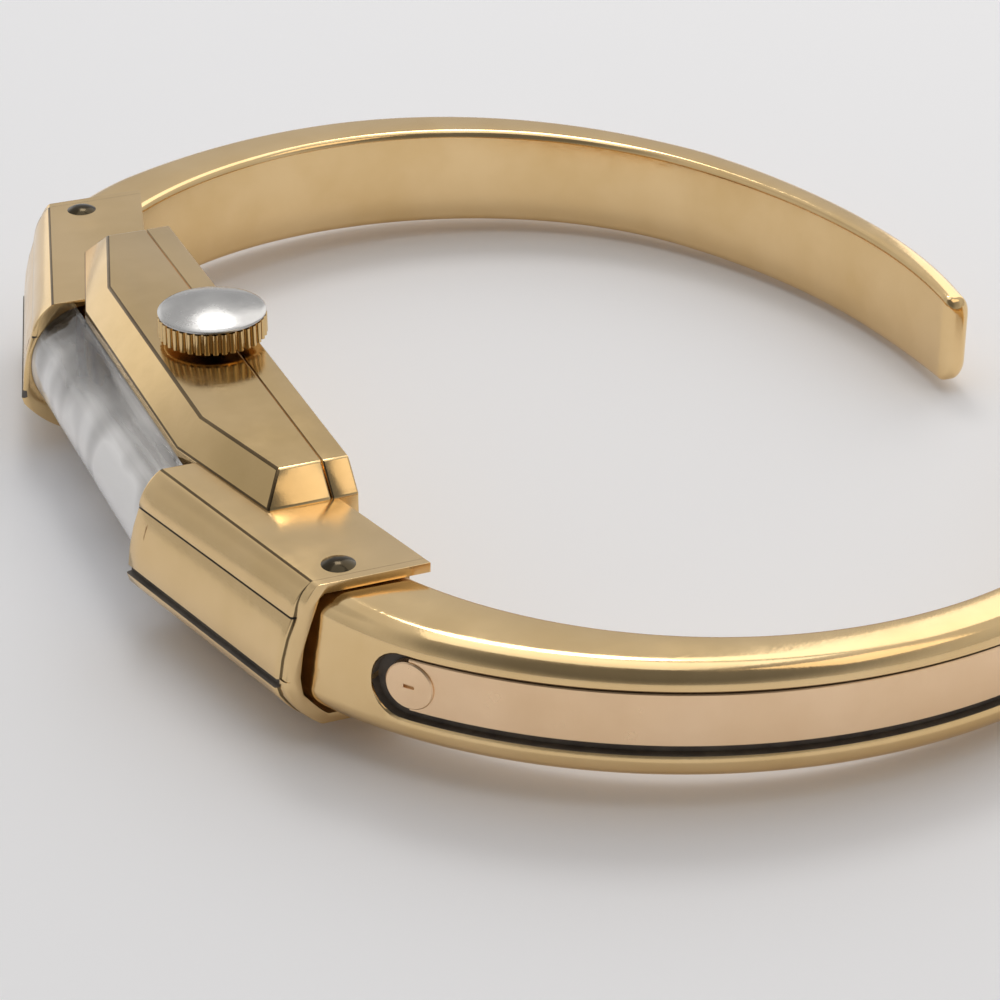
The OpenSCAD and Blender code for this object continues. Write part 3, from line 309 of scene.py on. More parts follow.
# One gold in three copies: painted shade makes the case's copy darker, and painted light makes the arms' copy
# lighter than the hoods'.
caseGoldShadedCopy = metalMaterial("caseGoldShadedCopy", (0.77, 0.55, 0.28), (0.67, 0.47, 0.22), 0.10, 0.22, 0.25)
hoodGold = metalMaterial("hoodGold", (0.83, 0.60, 0.32), (0.75, 0.53, 0.26), 0.12, 0.26, 0.3)
armGoldLitCopy = metalMaterial("armGoldLitCopy", (0.88, 0.64, 0.34), (0.80, 0.56, 0.27), 0.08, 0.20, 0.3)
inlayGold = metalMaterial(
    "inlayGold", (0.98, 0.71, 0.46), (0.91, 0.64, 0.39), 0.26, 0.42, 0.8, (1, 1, 0.05), 4200.0)
capSteel = metalMaterial("capSteel", (0.62, 0.61, 0.59), (0.44, 0.43, 0.42), 0.16, 0.34, 0.5)
# Painted reflection: the polished pin heads are painted near black for the dark surroundings they mirror.
pinPaintedDarkReflection = metalMaterial("pinPaintedDarkReflection", (0.07, 0.055, 0.03), (0.04, 0.03, 0.02), 0.10, 0.2, 0.3)
# Painted shade: a dark gold standing in for the shade and dark reflection along creases and softened edges.
creasePaintedShade = metalMaterial("creasePaintedShade", (0.20, 0.14, 0.07), (0.12, 0.08, 0.04), 0.14, 0.3, 0.25)
# Painted shade: a dark paint standing in for the shade inside the hoods' grooves and the arms' slot.
paintedRecessShade = paintMaterial("paintedRecessShade", (0.16, 0.13, 0.10), (0.085, 0.068, 0.054), 0.6)
innerGold = paintMaterial("innerGold", (0.62, 0.38, 0.17), (0.45, 0.27, 0.12), 0.40, 0.4)
nickel = metalMaterial("nickel", (0.72, 0.70, 0.64), (0.60, 0.58, 0.52), 0.22, 0.38, 0.5, (0.05, 1, 1))
gilt = metalMaterial("gilt", (0.86, 0.66, 0.30), (0.72, 0.52, 0.22), 0.2, 0.35, 0.4)
steel = metalMaterial("steel", (0.62, 0.63, 0.65), (0.50, 0.51, 0.53), 0.15, 0.3, 0.4)
bluedSteel = metalMaterial("bluedSteel", (0.10, 0.15, 0.40), (0.06, 0.09, 0.28), 0.15, 0.3, 0.3)
dialSilver = paintMaterial("dialSilver", (0.80, 0.78, 0.70), (0.70, 0.67, 0.58), 0.45)
handBlack = paintMaterial("handBlack", (0.03, 0.03, 0.03), (0.02, 0.02, 0.02), 0.3)
crystalGlass = glassMaterial("crystalGlass", (0.96, 0.98, 0.99), 0.08, 1.5, crystalHazeAndPaintedLight)
ruby = glassMaterial("ruby", (0.75, 0.05, 0.12), 0.06, 1.76)
slotMaterials = {
    "gold": caseGoldShadedCopy, "inlay_metal": inlayGold, "glass": crystalGlass, "cap_steel": capSteel,
    "dial_face": dialSilver, "marker_gold": gilt, "hand_black": handBlack, "plate_nickel": nickel,
    "wheel_brass": gilt, "steel": steel, "blued_steel": bluedSteel, "jewel_red": ruby, "pin_metal": pinPaintedDarkReflection,
}
for entry in frame["record"]["subparts"]:
    node = frame["nodes"].get(entry["node"])
    if node is None:
        print("no node", entry["node"])
        continue
    node.data.materials.clear()
    node.data.materials.append(slotMaterials[entry["material_slot"]])
print("materials made")


# Hooded end blocks: a folded shell, with s along it and its depth v towards the wrist.

hood = {
    "tilt": 14.0, "archY": 9.3, "plateX": 7.75, "start": 0.36, "ribEnd": 12.62, "end": 13.15,
    "plateWidth": 5.08, "top": 3.3, "bottom": 3.8, "wall": 0.47, "slantSteps": 10,
    "upperRib": {"reach": (1.20, 0.94), "foot": 1.68, "groove": 0.12, "proud": 0.0, "lip": 0.28},
    "lowerRib": {"reach": (1.96, 1.78), "foot": 1.74, "groove": 0.42, "proud": 0.10, "lip": 0.40},
    "fold": (0.5, 0.07), "foldTurn": 0.04, "lipShare": 0.25, "grooveLip": 0.03, "grooveLipShare": 0.4,
    "grooveDepth": 0.3, "ribSwell": 0.15, "bandSwell": 0.10, "bandAt": (0.33, 0.67),
    # How far along from the start, past the rib's end or back from the end, and how far set in there.
    "startSteps": [(0.0, 0.12), (0.05, 0.05), (0.14, 0.0)],
    "ribSteps": [(0.03, 0.03), (0.06, 0.09), (0.08, 0.20)],
    "endSteps": [(0.22, 0.20), (0.12, 0.22), (0.04, 0.27), (0.0, 0.36)],
    "plainFrom": 2.0, "plainCounts": (8, 3, 3), "rimThin": 0.08, "rimThinOver": 0.06,
    # Inside and web: v and the distance from the wall above or below it, and v and z along the front.
    "insideAbove": [(0.3, 0.0), (0.10, 0.12)], "insideBelow": [(-0.05, 0.3), (0.3, 0.0)],
    "insideFront": [(-0.42, 1.45), (-0.78, 0.3), (-0.98, -1.2), (-0.88, -2.1)], "insideSteps": 21,
    "edgeWide": 0.1, "flange": 0.3, "flangeFrom": 9.6, "flangeTo": 11.55, "flangeFoot": 1.6,
    "flangeStep": 0.01, "webAt": 7.0, "webThick": 1.5, "webOverlap": 0.05,
    "webAbove": [(0.3, 0.0), (0.1, 0.15)], "webBelow": [(-0.1, 0.3), (0.2, 0.0)],
    "webFront": [(-0.45, 1.4), (-0.85, 0.3), (-1.08, -1.2), (-0.98, -2.1)],
    "glassRadius": 3.14, "glassX": 5.9, "glassZ": -0.17, "archDepth": 1.1, "archStep": 0.02,
    "sharpAngle": 40.0, "softEdge": (0.05, 2, 50.0),
}
# Sides of the outline that form the two grooves, and the folded edge between plate and front.
grooveSides = (14, 15, 16, 20, 21, 22)
foldSide = 2
tiltCos = cos(radians(hood["tilt"]))
tiltTan = sin(radians(hood["tilt"])) / tiltCos


def hoodPlace(v, s, z, side):
    return (-hood["plateX"] + v / tiltCos + s * tiltTan, side * (hood["archY"] + s), z)


def hoodHalf(s, inset, groove, height, rib):
    near, far = rib["reach"]
    reach, foot = near + (far - near) * s / hood["end"] - inset, rib["foot"]
    edge = reach - hood["lipShare"] * rib["lip"]
    rise = foot + rib["lip"] - height
    slant = hypot(rise, edge)
    lip = min(hood["grooveLip"], groove * hood["grooveLipShare"])
    half = [(v, height) for v in (hood["plateWidth"], *hood["fold"])]
    for t in steps(hood["foldTurn"], 1.0, hood["slantSteps"]):
        swell = 4 * hood["ribSwell"] * t * (1 - t)
        half.append((-edge * t + swell * rise / slant, height + rise * t + swell * edge / slant))
    half.append((-reach, foot))
    half += [(-reach + groove, foot - lip), (-reach + groove, foot - rib["groove"] + lip)]
    return half + [(rib["proud"] - reach, foot - rib["groove"])]


def hoodOuter(s, inset, groove):
    upper = hoodHalf(s, inset, groove, hood["top"], hood["upperRib"])
    lower = [(v, -z) for v, z in reversed(hoodHalf(s, inset, groove, hood["bottom"], hood["lowerRib"]))]
    (a, b), (c, d) = upper[-1], lower[0]
    band = [(a + (c - a) * t - hood["bandSwell"], b + (d - b) * t) for t in hood["bandAt"]]
    return upper + band + lower


def hoodInner(s, arched, thin):
    width, edge, flange = hood["plateWidth"], hood["edgeWide"], hood["flange"]
    if arched:
        middle = (hood["plateX"] - hood["glassX"] - s * tiltTan) * tiltCos
        r = hood["glassRadius"]
        path = [(middle + r * cos(radians(a)) * tiltCos, hood["glassZ"] + r * sin(radians(a)))
                for a in steps(90, 270, hood["insideSteps"])]
        high, low = hood["glassZ"] + r, hood["glassZ"] - r
        places = (width, width - edge, width - flange)
        return [(v, high) for v in places] + path + [(v, low) for v in reversed(places)]
    high, low = hood["top"] - hood["wall"], hood["bottom"] - hood["wall"]
    corners = [(v, high - drop) for v, drop in hood["insideAbove"]]
    corners += [(v - thin, z) for v, z in hood["insideFront"]]
    corners += [(v, rise - low) for v, rise in hood["insideBelow"]]
    lengths = [0.0]
    for (a, b), (c, d) in zip(corners, corners[1:]):
        lengths.append(lengths[-1] + hypot(c - a, d - b))
    path = []
    for reached in steps(0.0, lengths[-1], hood["insideSteps"]):
        k = max(i for i in range(len(corners) - 1) if lengths[i] <= reached + 1e-9)
        f = (reached - lengths[k]) / (lengths[k + 1] - lengths[k])
        path.append(tuple(p + (q - p) * f for p, q in zip(corners[k], corners[k + 1])))
    if s < hood["flangeFrom"] or s > hood["flangeTo"]:
        upper = [(width, high), (width - edge, high), (width - flange, high)]
        lower = [(width - flange, -low), (width - edge, -low), (width, -low)]
    else:
        foot, step = hood["flangeFoot"], hood["flangeStep"]
        upper = [(width, foot), (width - flange, foot), (width - flange - step, high)]
        lower = [(width - flange - step, -low), (width - flange, -foot), (width, -foot)]
    return upper + path + lower


def makeHood(side):
    start, end, rib, deep = (hood[k] for k in ("start", "end", "ribEnd", "archDepth"))
    flangeFrom, flangeTo, step = hood["flangeFrom"], hood["flangeTo"], hood["flangeStep"]
    # Each station gives its place, how far it is set in, and whether it is arched over the crystal.
    stations = [(start + along, inset, True) for along, inset in hood["startSteps"]]
    stations += [(start + deep, 0.0, True), (start + deep + hood["archStep"], 0.0, False)]
    before, over, after = hood["plainCounts"]
    plain = steps(hood["plainFrom"], flangeFrom - step, before) + steps(flangeFrom, flangeTo, over)
    stations += [(s, 0.0, False) for s in plain + steps(flangeTo + step, rib, after)]
    stations += [(rib + along, inset, False) for along, inset in hood["ribSteps"]]
    stations += [(end - along, inset, False) for along, inset in hood["endSteps"]]
    creaseEnd, grooveEnd = rib + hood["ribSteps"][0][0], rib + hood["ribSteps"][-1][0]
    rings = []
    for s, inset, arched in stations:
        groove = max(0.0, hood["grooveDepth"] - inset) if s < grooveEnd else 0.0
        thin = -hood["rimThin"] if s > end - hood["rimThinOver"] else 0.0
        outline = hoodOuter(s, inset, groove) + list(reversed(hoodInner(s, arched, thin)))
        rings.append([hoodPlace(v, s, z, side) for v, z in outline])
    verts = [p for ring in rings for p in ring]
    count = len(rings[0])
    faces = loftFaces(len(rings), count)
    outerCount = len(hoodOuter(0.0, 0.0, 0.0))
    sides = range((len(rings) - 1) * count)
    rimStep = next(j for j, station in enumerate(stations) if station[0] > creaseEnd)
    # The grooves get the dark paint that paints shade inside them.
    grooves = [i for i in sides if i % count in grooveSides and i // count < rimStep]
    # The folded edge and the rim's step get the dark metal that paints shade along them.
    creaseShadeFaces = [i for i in sides if i % count == foldSide and i // count < rimStep]
    creaseShadeFaces += [i for i in sides if i // count == rimStep and i % count < outerCount]
    insides = [i for i in sides if i % count > outerCount]
    overlap = hood["webOverlap"]
    high, low = hood["top"] - hood["wall"] + overlap, hood["bottom"] - hood["wall"] + overlap
    webEdge = hood["plateWidth"] - overlap
    webPath = [(webEdge, high)] + [(v, high - drop) for v, drop in hood["webAbove"]] + hood["webFront"]
    webPath += [(v, rise - low) for v, rise in hood["webBelow"]] + [(webEdge, -low)]
    first = len(verts)
    for s in (hood["webAt"], hood["webAt"] + hood["webThick"]):
        verts += [hoodPlace(v, s, z, side) for v, z in webPath]
    faces += [tuple(first + i for i in face) for face in loftFaces(2, len(webPath))]
    name = "hood_12" if side > 0 else "hood_6"
    dressed = ((paintedRecessShade, grooves), (creasePaintedShade, creaseShadeFaces), (innerGold, insides))
    piece = finishMesh(name, verts, faces, hoodGold, hood["sharpAngle"], dressed)
    softenEdges(piece, *hood["softEdge"])
    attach(piece, "case")
    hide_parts("end_block_12" if side > 0 else "end_block_6")


for side in (1, -1):
    makeHood(side)
print("hoods made")


# Case: a bevelled form split into body and back.

case = {
    "plateau": [(0.0, 14.1), (-3.4, 14.1), (-5.1, 7.85)], "plateauZ": 4.65,
    "foot": [(0.0, 15.4), (-4.39, 15.4), (-6.4, 8.02)], "footZ": 3.35,
    "splitX": -1.3, "edge": 0.10, "backEdge": 0.09, "edgeSegments": 3, "edgeAngle": 25.0, "seam": 0.05,
    "room": ((-5.1, -8.8, -3.75), (1, 8.8, 3.75)), "window": ((-7, -7.6, -2.55), (-5, 7.6, 2.55)),
    "backRoom": ((-2, -8.5, -3.45), (-0.5, 8.5, 3.45)),
}


def caseSolid():
    def ring(half, z):
        points = half + [(x, -y) for x, y in reversed(half)]
        return [(x, y, z) for x, y in points]
    levels = [ring(case["plateau"], case["plateauZ"]), ring(case["foot"], case["footZ"])]
    levels += [ring(case["foot"], -case["footZ"]), ring(case["plateau"], -case["plateauZ"])]
    return [p for level in levels for p in level], loftFaces(4, 6)


def makeCase(name, keepFront, boxes, node, body):
    verts, faces = caseSolid()
    piece = finishMesh(name, verts, faces, caseGoldShadedCopy)
    work = bmesh.new()
    work.from_mesh(piece.data)
    seam = case["seam"] if keepFront else -case["seam"]
    cut = bmesh.ops.bisect_plane(
        work, geom=work.verts[:] + work.edges[:] + work.faces[:], dist=1e-7,
        plane_co=((case["splitX"] - seam * 0.5) * mm, 0, 0), plane_no=(1, 0, 0),
        clear_outer=keepFront, clear_inner=not keepFront)
    rim = [e for e in cut["geom_cut"] if isinstance(e, bmesh.types.BMEdge)]
    bmesh.ops.holes_fill(work, edges=rim)
    bmesh.ops.recalc_face_normals(work, faces=work.faces)
    work.to_mesh(piece.data)
    work.free()
    cutOut(piece, boxes)
    edge = case["edge"] if keepFront else case["backEdge"]
    # The case's softened edges get the dark metal that paints shade along them.
    softenEdges(piece, edge, case["edgeSegments"], case["edgeAngle"], creasePaintedShade)
    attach(piece, body)
    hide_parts(node)


makeCase("caseShell", True, [boxParts(*case["room"]), boxParts(*case["window"])], "case_body", "case")
makeCase("backShell", False, [boxParts(*case["backRoom"])], "case_back", "back")
print("case made")


# Crystal: a half barrel with a thick wall, its ends under the hoods.

crystal = {
    "radius": 3.12, "wall": 0.7, "axisX": -5.9, "axisZ": -0.17, "half": 10.3, "footX": -6.4,
    "sides": 64, "sharpAngle": 40.0,
}


def crystalRing(radius, y):
    reach = sqrt(radius * radius - (crystal["footX"] - crystal["axisX"]) ** 2)
    turn = degrees(atan2(reach, crystal["footX"] - crystal["axisX"]))
    return [(crystal["axisX"] + radius * cos(radians(a)), y, crystal["axisZ"] + radius * sin(radians(a)))
            for a in steps(turn, 360 - turn, crystal["sides"])]


outside = [crystalRing(crystal["radius"], y) for y in (-crystal["half"], crystal["half"])]
inside = [crystalRing(crystal["radius"] - crystal["wall"], y) for y in
          (-crystal["half"] + crystal["wall"], crystal["half"] - crystal["wall"])]
count = crystal["sides"] + 1
verts = [p for ring in outside + inside for p in ring]
faces = []
for i in range(count - 1):
    faces.append((i, i + 1, count + i + 1, count + i))
    faces.append((2 * count + i, 3 * count + i, 3 * count + i + 1, 2 * count + i + 1))
faces.append(tuple(range(count)))
faces.append(tuple(reversed(range(count, 2 * count))))
faces.append(tuple(reversed(range(2 * count, 3 * count))))
faces.append(tuple(range(3 * count, 4 * count)))
faces.append((0, 2 * count, 3 * count - 1, count - 1))
faces.append((count, 2 * count - 1, 4 * count - 1, 3 * count))
faces.append((0, count, 3 * count, 2 * count))
faces.append((count - 1, 3 * count - 1, 4 * count - 1, 2 * count - 1))
glass = finishMesh("crystalDome", verts, faces, crystalGlass, crystal["sharpAngle"])
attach(glass, "case")
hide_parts("crystal")
print("crystal made")


# Arms: rings of one section along a curve of three arcs.

arm = {
    "halfHeight": 2.75, "bendRadius": 20.5, "backRadius": 37.0, "backFrom": 29.9, "rootFrom": 60.0,
    "tipAt": -4.2, "thickness": 2.55, "tipThickness": 1.45, "rootShift": 3.0, "faceHalf": 1.75,
    "shoulder": 1.1, "edge": 0.42, "tipRound": 0.6, "tipDrop": 0.3, "tipCorner": 0.9,
    "farSwell": 0.7, "farRise": 0.12, "swellFrom": 32.0, "swellOver": 96.0, "nearFoot": 1.08,
    "slotHalf": 1.6, "slotDepth": 0.5, "slotLead": 0.25, "rivetAt": 123.5, "tipRivetAt": 1.0,
    "heelTrim": 0.14, "heelLean": 0.19, "leanFrom": -1.2, "trimFrom": 122.0, "heelGap": 0.09,
    "pin": (-2.9987, 21.0085), "fromPin": (16.6, -15.4), "openSix": 21.7,
    "trimCurve": 1.5, "tipDropOver": 3, "edgeShare": 0.25, "slotLip": 0.09, "slotLipShare": 0.4,
    "faceFlat": 0.06, "sideAt": 0.3, "shoulderSides": 9, "edgeSides": 4, "sharpAngle": 38.0,
    # Rings along the arm: the turns of its heel and of the slot's round ends, and how many each stretch has.
    "heelTurns": (84, 70, 55, 40, 25, 12), "slotTurns": (0, 5, 12, 20, 30, 42, 55, 68, 80),
    "rings": {"heel": 8, "root": 56, "bend": 28, "back": 30, "tip": 4, "tipRound": 9},
    "heelEase": 0.4, "tipEase": 0.2, "tipTurn": 84,
}
pinX, pinY = arm["pin"]
bend = (pinX + arm["fromPin"][0], pinY + arm["fromPin"][1])
backTurn = radians(arm["backFrom"])
back = (bend[0] - (arm["backRadius"] - arm["bendRadius"]) * cos(backTurn),
        bend[1] - (arm["backRadius"] - arm["bendRadius"]) * sin(backTurn))
rootRadius = arm["bendRadius"] + arm["thickness"] + arm["rootShift"]
root = (bend[0] - arm["rootShift"] * cos(radians(arm["rootFrom"])),
        bend[1] - arm["rootShift"] * sin(radians(arm["rootFrom"])))
pinAngle = degrees(atan2(-arm["fromPin"][1], -arm["fromPin"][0]))
pinDepth = hypot(*arm["fromPin"]) - arm["bendRadius"]


def rootThickness(angle):
    along = arm["rootShift"] * cos(radians(angle - arm["rootFrom"]))
    return sqrt(rootRadius ** 2 - arm["rootShift"] ** 2 + along ** 2) - along - arm["bendRadius"]


def armPlace(side, x, y, z):
    if side > 0:
        return (x, y, z)
    y = -y
    turn = -radians(arm["openSix"])
    dx, dy = x - pinX, y + pinY
    return (pinX + dx * cos(turn) - dy * sin(turn), -pinY + dx * sin(turn) + dy * cos(turn), z)


def stationAt(angle, zone):
    station = {"centre": bend, "angle": angle, "inner": arm["bendRadius"], "thick": arm["thickness"]}
    station.update({"slot": 0.0, "less": 0.0, "lean": 0.0})
    if zone == "root":
        trim = min(1.0, max(0.0, (angle - arm["trimFrom"]) / (pinAngle - arm["trimFrom"])))
        trim **= arm["trimCurve"]
        station["thick"] = rootThickness(angle) - arm["heelTrim"] * trim
        station["lean"] = arm["heelLean"] * trim
    if zone == "back":
        part = max(0.0, (angle - arm["tipAt"]) / (arm["backFrom"] - arm["tipAt"]))
        station.update({"centre": back, "inner": arm["backRadius"]})
        station["thick"] = arm["tipThickness"] + (arm["thickness"] - arm["tipThickness"]) * part
        station["less"] = arm["tipDrop"] * max(0.0, 1 - part * arm["tipDropOver"]) ** 2
    return station


def farArm(stations, side):
    for station in stations:
        part = (station["angle"] - arm["swellFrom"]) / arm["swellOver"]
        swell = sin(pi * part) ** 2 if side > 0 and station["centre"] == bend and 0 < part < 1 else 0.0
        station["thick"] += arm["farSwell"] * swell
        station["less"] -= arm["farRise"] * swell
    return stations


def withSlot(station, width):
    station["slot"] = width
    return station


def slotStations(zone, first, last, count):
    return [withSlot(stationAt(a, zone), arm["slotHalf"]) for a in steps(first, last, count)]


def armStations(full=True):
    stations, rings = [], arm["rings"]
    heel = stationAt(pinAngle, "root")
    outerHeel = heel["thick"] - pinDepth
    if full:
        for a in arm["heelTurns"]:
            shrink = cos(radians(a))
            reach = (pinDepth - arm["heelGap"]) * sin(radians(a))
            station = stationAt(pinAngle + degrees(reach / (heel["inner"] + pinDepth)), "root")
            station["inner"] += pinDepth * (1 - shrink)
            station["thick"] = (pinDepth + outerHeel) * shrink
            station["lean"] = arm["heelLean"] * shrink
            stations.append(station)
        slotReach = degrees(arm["slotHalf"] / (arm["bendRadius"] + rootThickness(arm["rivetAt"])))
        lead = arm["rivetAt"] + slotReach * arm["slotLead"] / arm["slotHalf"]
        heelEnd = lead + slotReach + arm["heelEase"]
        stations += [stationAt(a, "root") for a in steps(pinAngle, heelEnd, rings["heel"])]
        for a in arm["slotTurns"]:
            angle = lead + slotReach * cos(radians(a))
            stations.append(withSlot(stationAt(angle, "root"), arm["slotHalf"] * sin(radians(a))))
    stations += slotStations("root", arm["rivetAt"], arm["rootFrom"], rings["root"])
    stations += slotStations("bend", arm["rootFrom"], arm["backFrom"], rings["bend"])[1:]
    stations += slotStations("back", arm["backFrom"], arm["tipRivetAt"], rings["back"])[1:]
    if full:
        slotReach = degrees(arm["slotHalf"] / (arm["backRadius"] + arm["thickness"]))
        for a in reversed(arm["slotTurns"]):
            angle = arm["tipRivetAt"] - slotReach * cos(radians(a))
            stations.append(withSlot(stationAt(angle, "back"), arm["slotHalf"] * sin(radians(a))))
        slotEnd = arm["tipRivetAt"] - slotReach - arm["tipEase"]
        stations += [stationAt(a, "back") for a in steps(slotEnd, arm["tipAt"], rings["tip"])]
        for a in steps(0, arm["tipTurn"], rings["tipRound"])[1:]:
            less = arm["tipRound"] * (1 - cos(radians(a)))
            past = degrees(arm["tipRound"] * sin(radians(a)) / arm["backRadius"])
            station = stationAt(arm["tipAt"] - past, "back")
            station["inner"] += less
            station["thick"] -= 2 * less
            corner = 1 - sqrt(max(0.0, 1 - sin(radians(a)) ** 2))
            station["less"] = arm["tipDrop"] + arm["tipCorner"] * corner
            stations.append(station)
    return stations


def sectionPoint(station, depth, z):
    turn = radians(station["angle"])
    reach = station["inner"] + depth
    return (station["centre"][0] + reach * cos(turn), station["centre"][1] + reach * sin(turn), z)


def armSection(station):
    thick, slot = station["thick"], station["slot"]
    high = arm["halfHeight"] - station["less"]
    face = arm["faceHalf"] - station["less"]
    drop = min(arm["shoulder"], thick * 0.5)
    edge = min(arm["edge"], thick * arm["edgeShare"])
    floor = arm["slotDepth"] if slot > 0 else 0.0
    lip = min(arm["slotLip"], slot * arm["slotLipShare"])
    half = [(thick - floor, slot), (thick - lip, slot)]
    half += [(thick, slot + lip if slot > 0 else 0.0), (thick, face - arm["faceFlat"])]
    half += [(thick - drop + drop * cos(radians(a)), face + (high - face) * sin(radians(a)))
             for a in steps(0, 90, arm["shoulderSides"])]
    half += [(thick * 0.5 - drop * arm["sideAt"], high)]
    half += [(edge - edge * sin(radians(a)), high - edge + edge * cos(radians(a)))
             for a in steps(0, 90, arm["edgeSides"])]
    whole = half + [(q, -z) for q, z in reversed(half)]
    leans = [station["lean"] * max(0.0, z - arm["leanFrom"]) if q > thick * 0.5 else 0.0 for q, z in whole]
    return [(q - lean, z) for (q, z), lean in zip(whole, leans)]


def makeArm(side):
    stations = farArm(armStations(), side)
    low = arm["nearFoot"] if side < 0 else 1.0
    rings = []
    for s in stations:
        section = [(q, z * low if z < -arm["slotHalf"] else z) for q, z in armSection(s)]
        rings.append([armPlace(side, *sectionPoint(s, q, z)) for q, z in section])
    label = "12" if side > 0 else "6"
    count = len(rings[0])
    slotted = [j for j in range(len(rings) - 1) if stations[j]["slot"] > 0 and stations[j + 1]["slot"] > 0]
    slotFaces = [j * count + i for j in slotted for i in (0, count - 2, count - 1)]
    verts, faces = [p for ring in rings for p in ring], loftFaces(len(rings), count)
    # The slot's walls and floor get painted shade.
    dressed = ((paintedRecessShade, slotFaces),)
    piece = finishMesh("armShell_" + label, verts, faces, armGoldLitCopy, arm["sharpAngle"], dressed)
    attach(piece, "arm_" + label)
    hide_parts("arm_" + label)


inlay = {
    "half": 1.3, "lift": 0.15, "thick": 0.36, "ease": 0.05,
    "rivetRadius": 1.16, "rivetThick": 0.46, "rivetEdge": 0.06, "rivetDome": 0.02, "rivetTurns": 48,
    "notch": (0.26, 0.09), "notchDeep": 0.12, "notchOver": 0.2, "sharpAngle": 30.0,
}


def makeInlay(side):
    label = "12" if side > 0 else "6"
    rings = []
    for s in farArm(armStations(False), side):
        floor = s["thick"] - arm["slotDepth"]
        top, half, ease = floor + inlay["thick"], inlay["half"], inlay["ease"]
        outline = [(floor, half), (top - ease, half), (top, half - ease), (top, 0)]
        outline += [(top, -half + ease), (top - ease, -half), (floor, -half)]
        rings.append([armPlace(side, *sectionPoint(s, q, z + inlay["lift"])) for q, z in outline])
    stripFaces = loftFaces(len(rings), len(rings[0]))
    stripVerts, sharp = [p for ring in rings for p in ring], inlay["sharpAngle"]
    strip = finishMesh("inlayStrip_" + label, stripVerts, stripFaces, inlayGold, sharp)
    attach(strip, "arm_" + label)
    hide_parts("inlay_strip_" + label)
    verts, faces, notches = [], [], []
    near = farArm([stationAt(arm["rivetAt"], "root")], side)[0]
    far = stationAt(arm["tipRivetAt"], "back")
    taper = (arm["thickness"] - arm["tipThickness"]) / radians(arm["backFrom"] - arm["tipAt"])
    lean = atan2(taper, arm["backRadius"])
    for station, centre, turn in ((near, root, 0.0), (far, back, lean)):
        foot = Vector(sectionPoint(station, station["thick"] - arm["slotDepth"], 0.0))
        way = atan2(foot[1] - centre[1], foot[0] - centre[0]) - turn
        outward = Vector((cos(way), sin(way), 0.0))
        across = Vector((-outward[1], outward[0], 0.0))
        r, t, edge = inlay["rivetRadius"], inlay["rivetThick"], inlay["rivetEdge"]
        profile = [(0.0, 0.0), (r, 0.0), (r, t - edge), (r - edge, t), (0.0, t + inlay["rivetDome"])]
        long, wide = inlay["notch"]
        notch = [foot + outward * d + across * l + Vector((0, 0, w + inlay["lift"]))
                 for d in (t - inlay["notchDeep"], t + inlay["notchOver"])
                 for l in (-long, long) for w in (-wide, wide)]
        notches.append(([armPlace(side, *p) for p in notch], boxQuads))
        start, turns = len(verts), inlay["rivetTurns"]
        for radius, height in profile:
            for k in range(turns):
                a = 2 * pi * k / turns
                rise = Vector((0, 0, radius * sin(a) + inlay["lift"]))
                verts.append(armPlace(side, *(foot + outward * height + across * radius * cos(a) + rise)))
        for j in range(len(profile) - 1):
            for k in range(turns):
                m = (k + 1) % turns
                a, b = start + j * turns, start + (j + 1) * turns
                faces.append((a + k, a + m, b + m, b + k))
    rivets = finishMesh("stripRivets_" + label, verts, faces, inlayGold, sharp)
    cutOut(rivets, notches)
    smoothPiece(rivets, sharp)
    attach(rivets, "arm_" + label)
    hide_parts("strip_rivets_" + label)


for side in (1, -1):
    makeArm(side)
    makeInlay(side)
print("arms made")


# Crown: ridges set round a drum, under a domed cap.

crown = {
    "x": -2.0, "foot": 4.95, "top": 6.1, "radius": 2.7, "ridges": 38, "ridge": 0.16, "ridgeSides": 12,
    "ridgeShort": 0.1, "footEdge": 0.1, "topEdge": 0.05, "turns": 96, "sharpAngle": 30.0, "ridgeAngle": 35.0,
    "domeRise": 0.5, "domeSteps": 16, "capSet": 0.03, "capFootEdge": (0.06, 0.04), "capEdge": 0.14,
    "capTopEdge": (0.04, 0.03),
}


def turnedMesh(name, profile, material):
    verts, faces, turns = [], [], crown["turns"]
    for radius, z in profile:
        for k in range(turns):
            a = 2 * pi * k / turns
            verts.append((crown["x"] + radius * cos(a), radius * sin(a), z))
    for j in range(len(profile) - 1):
        for k in range(turns):
            m = (k + 1) % turns
            faces.append((j * turns + k, j * turns + m, (j + 1) * turns + m, (j + 1) * turns + k))
    return finishMesh(name, verts, faces, material, crown["sharpAngle"])


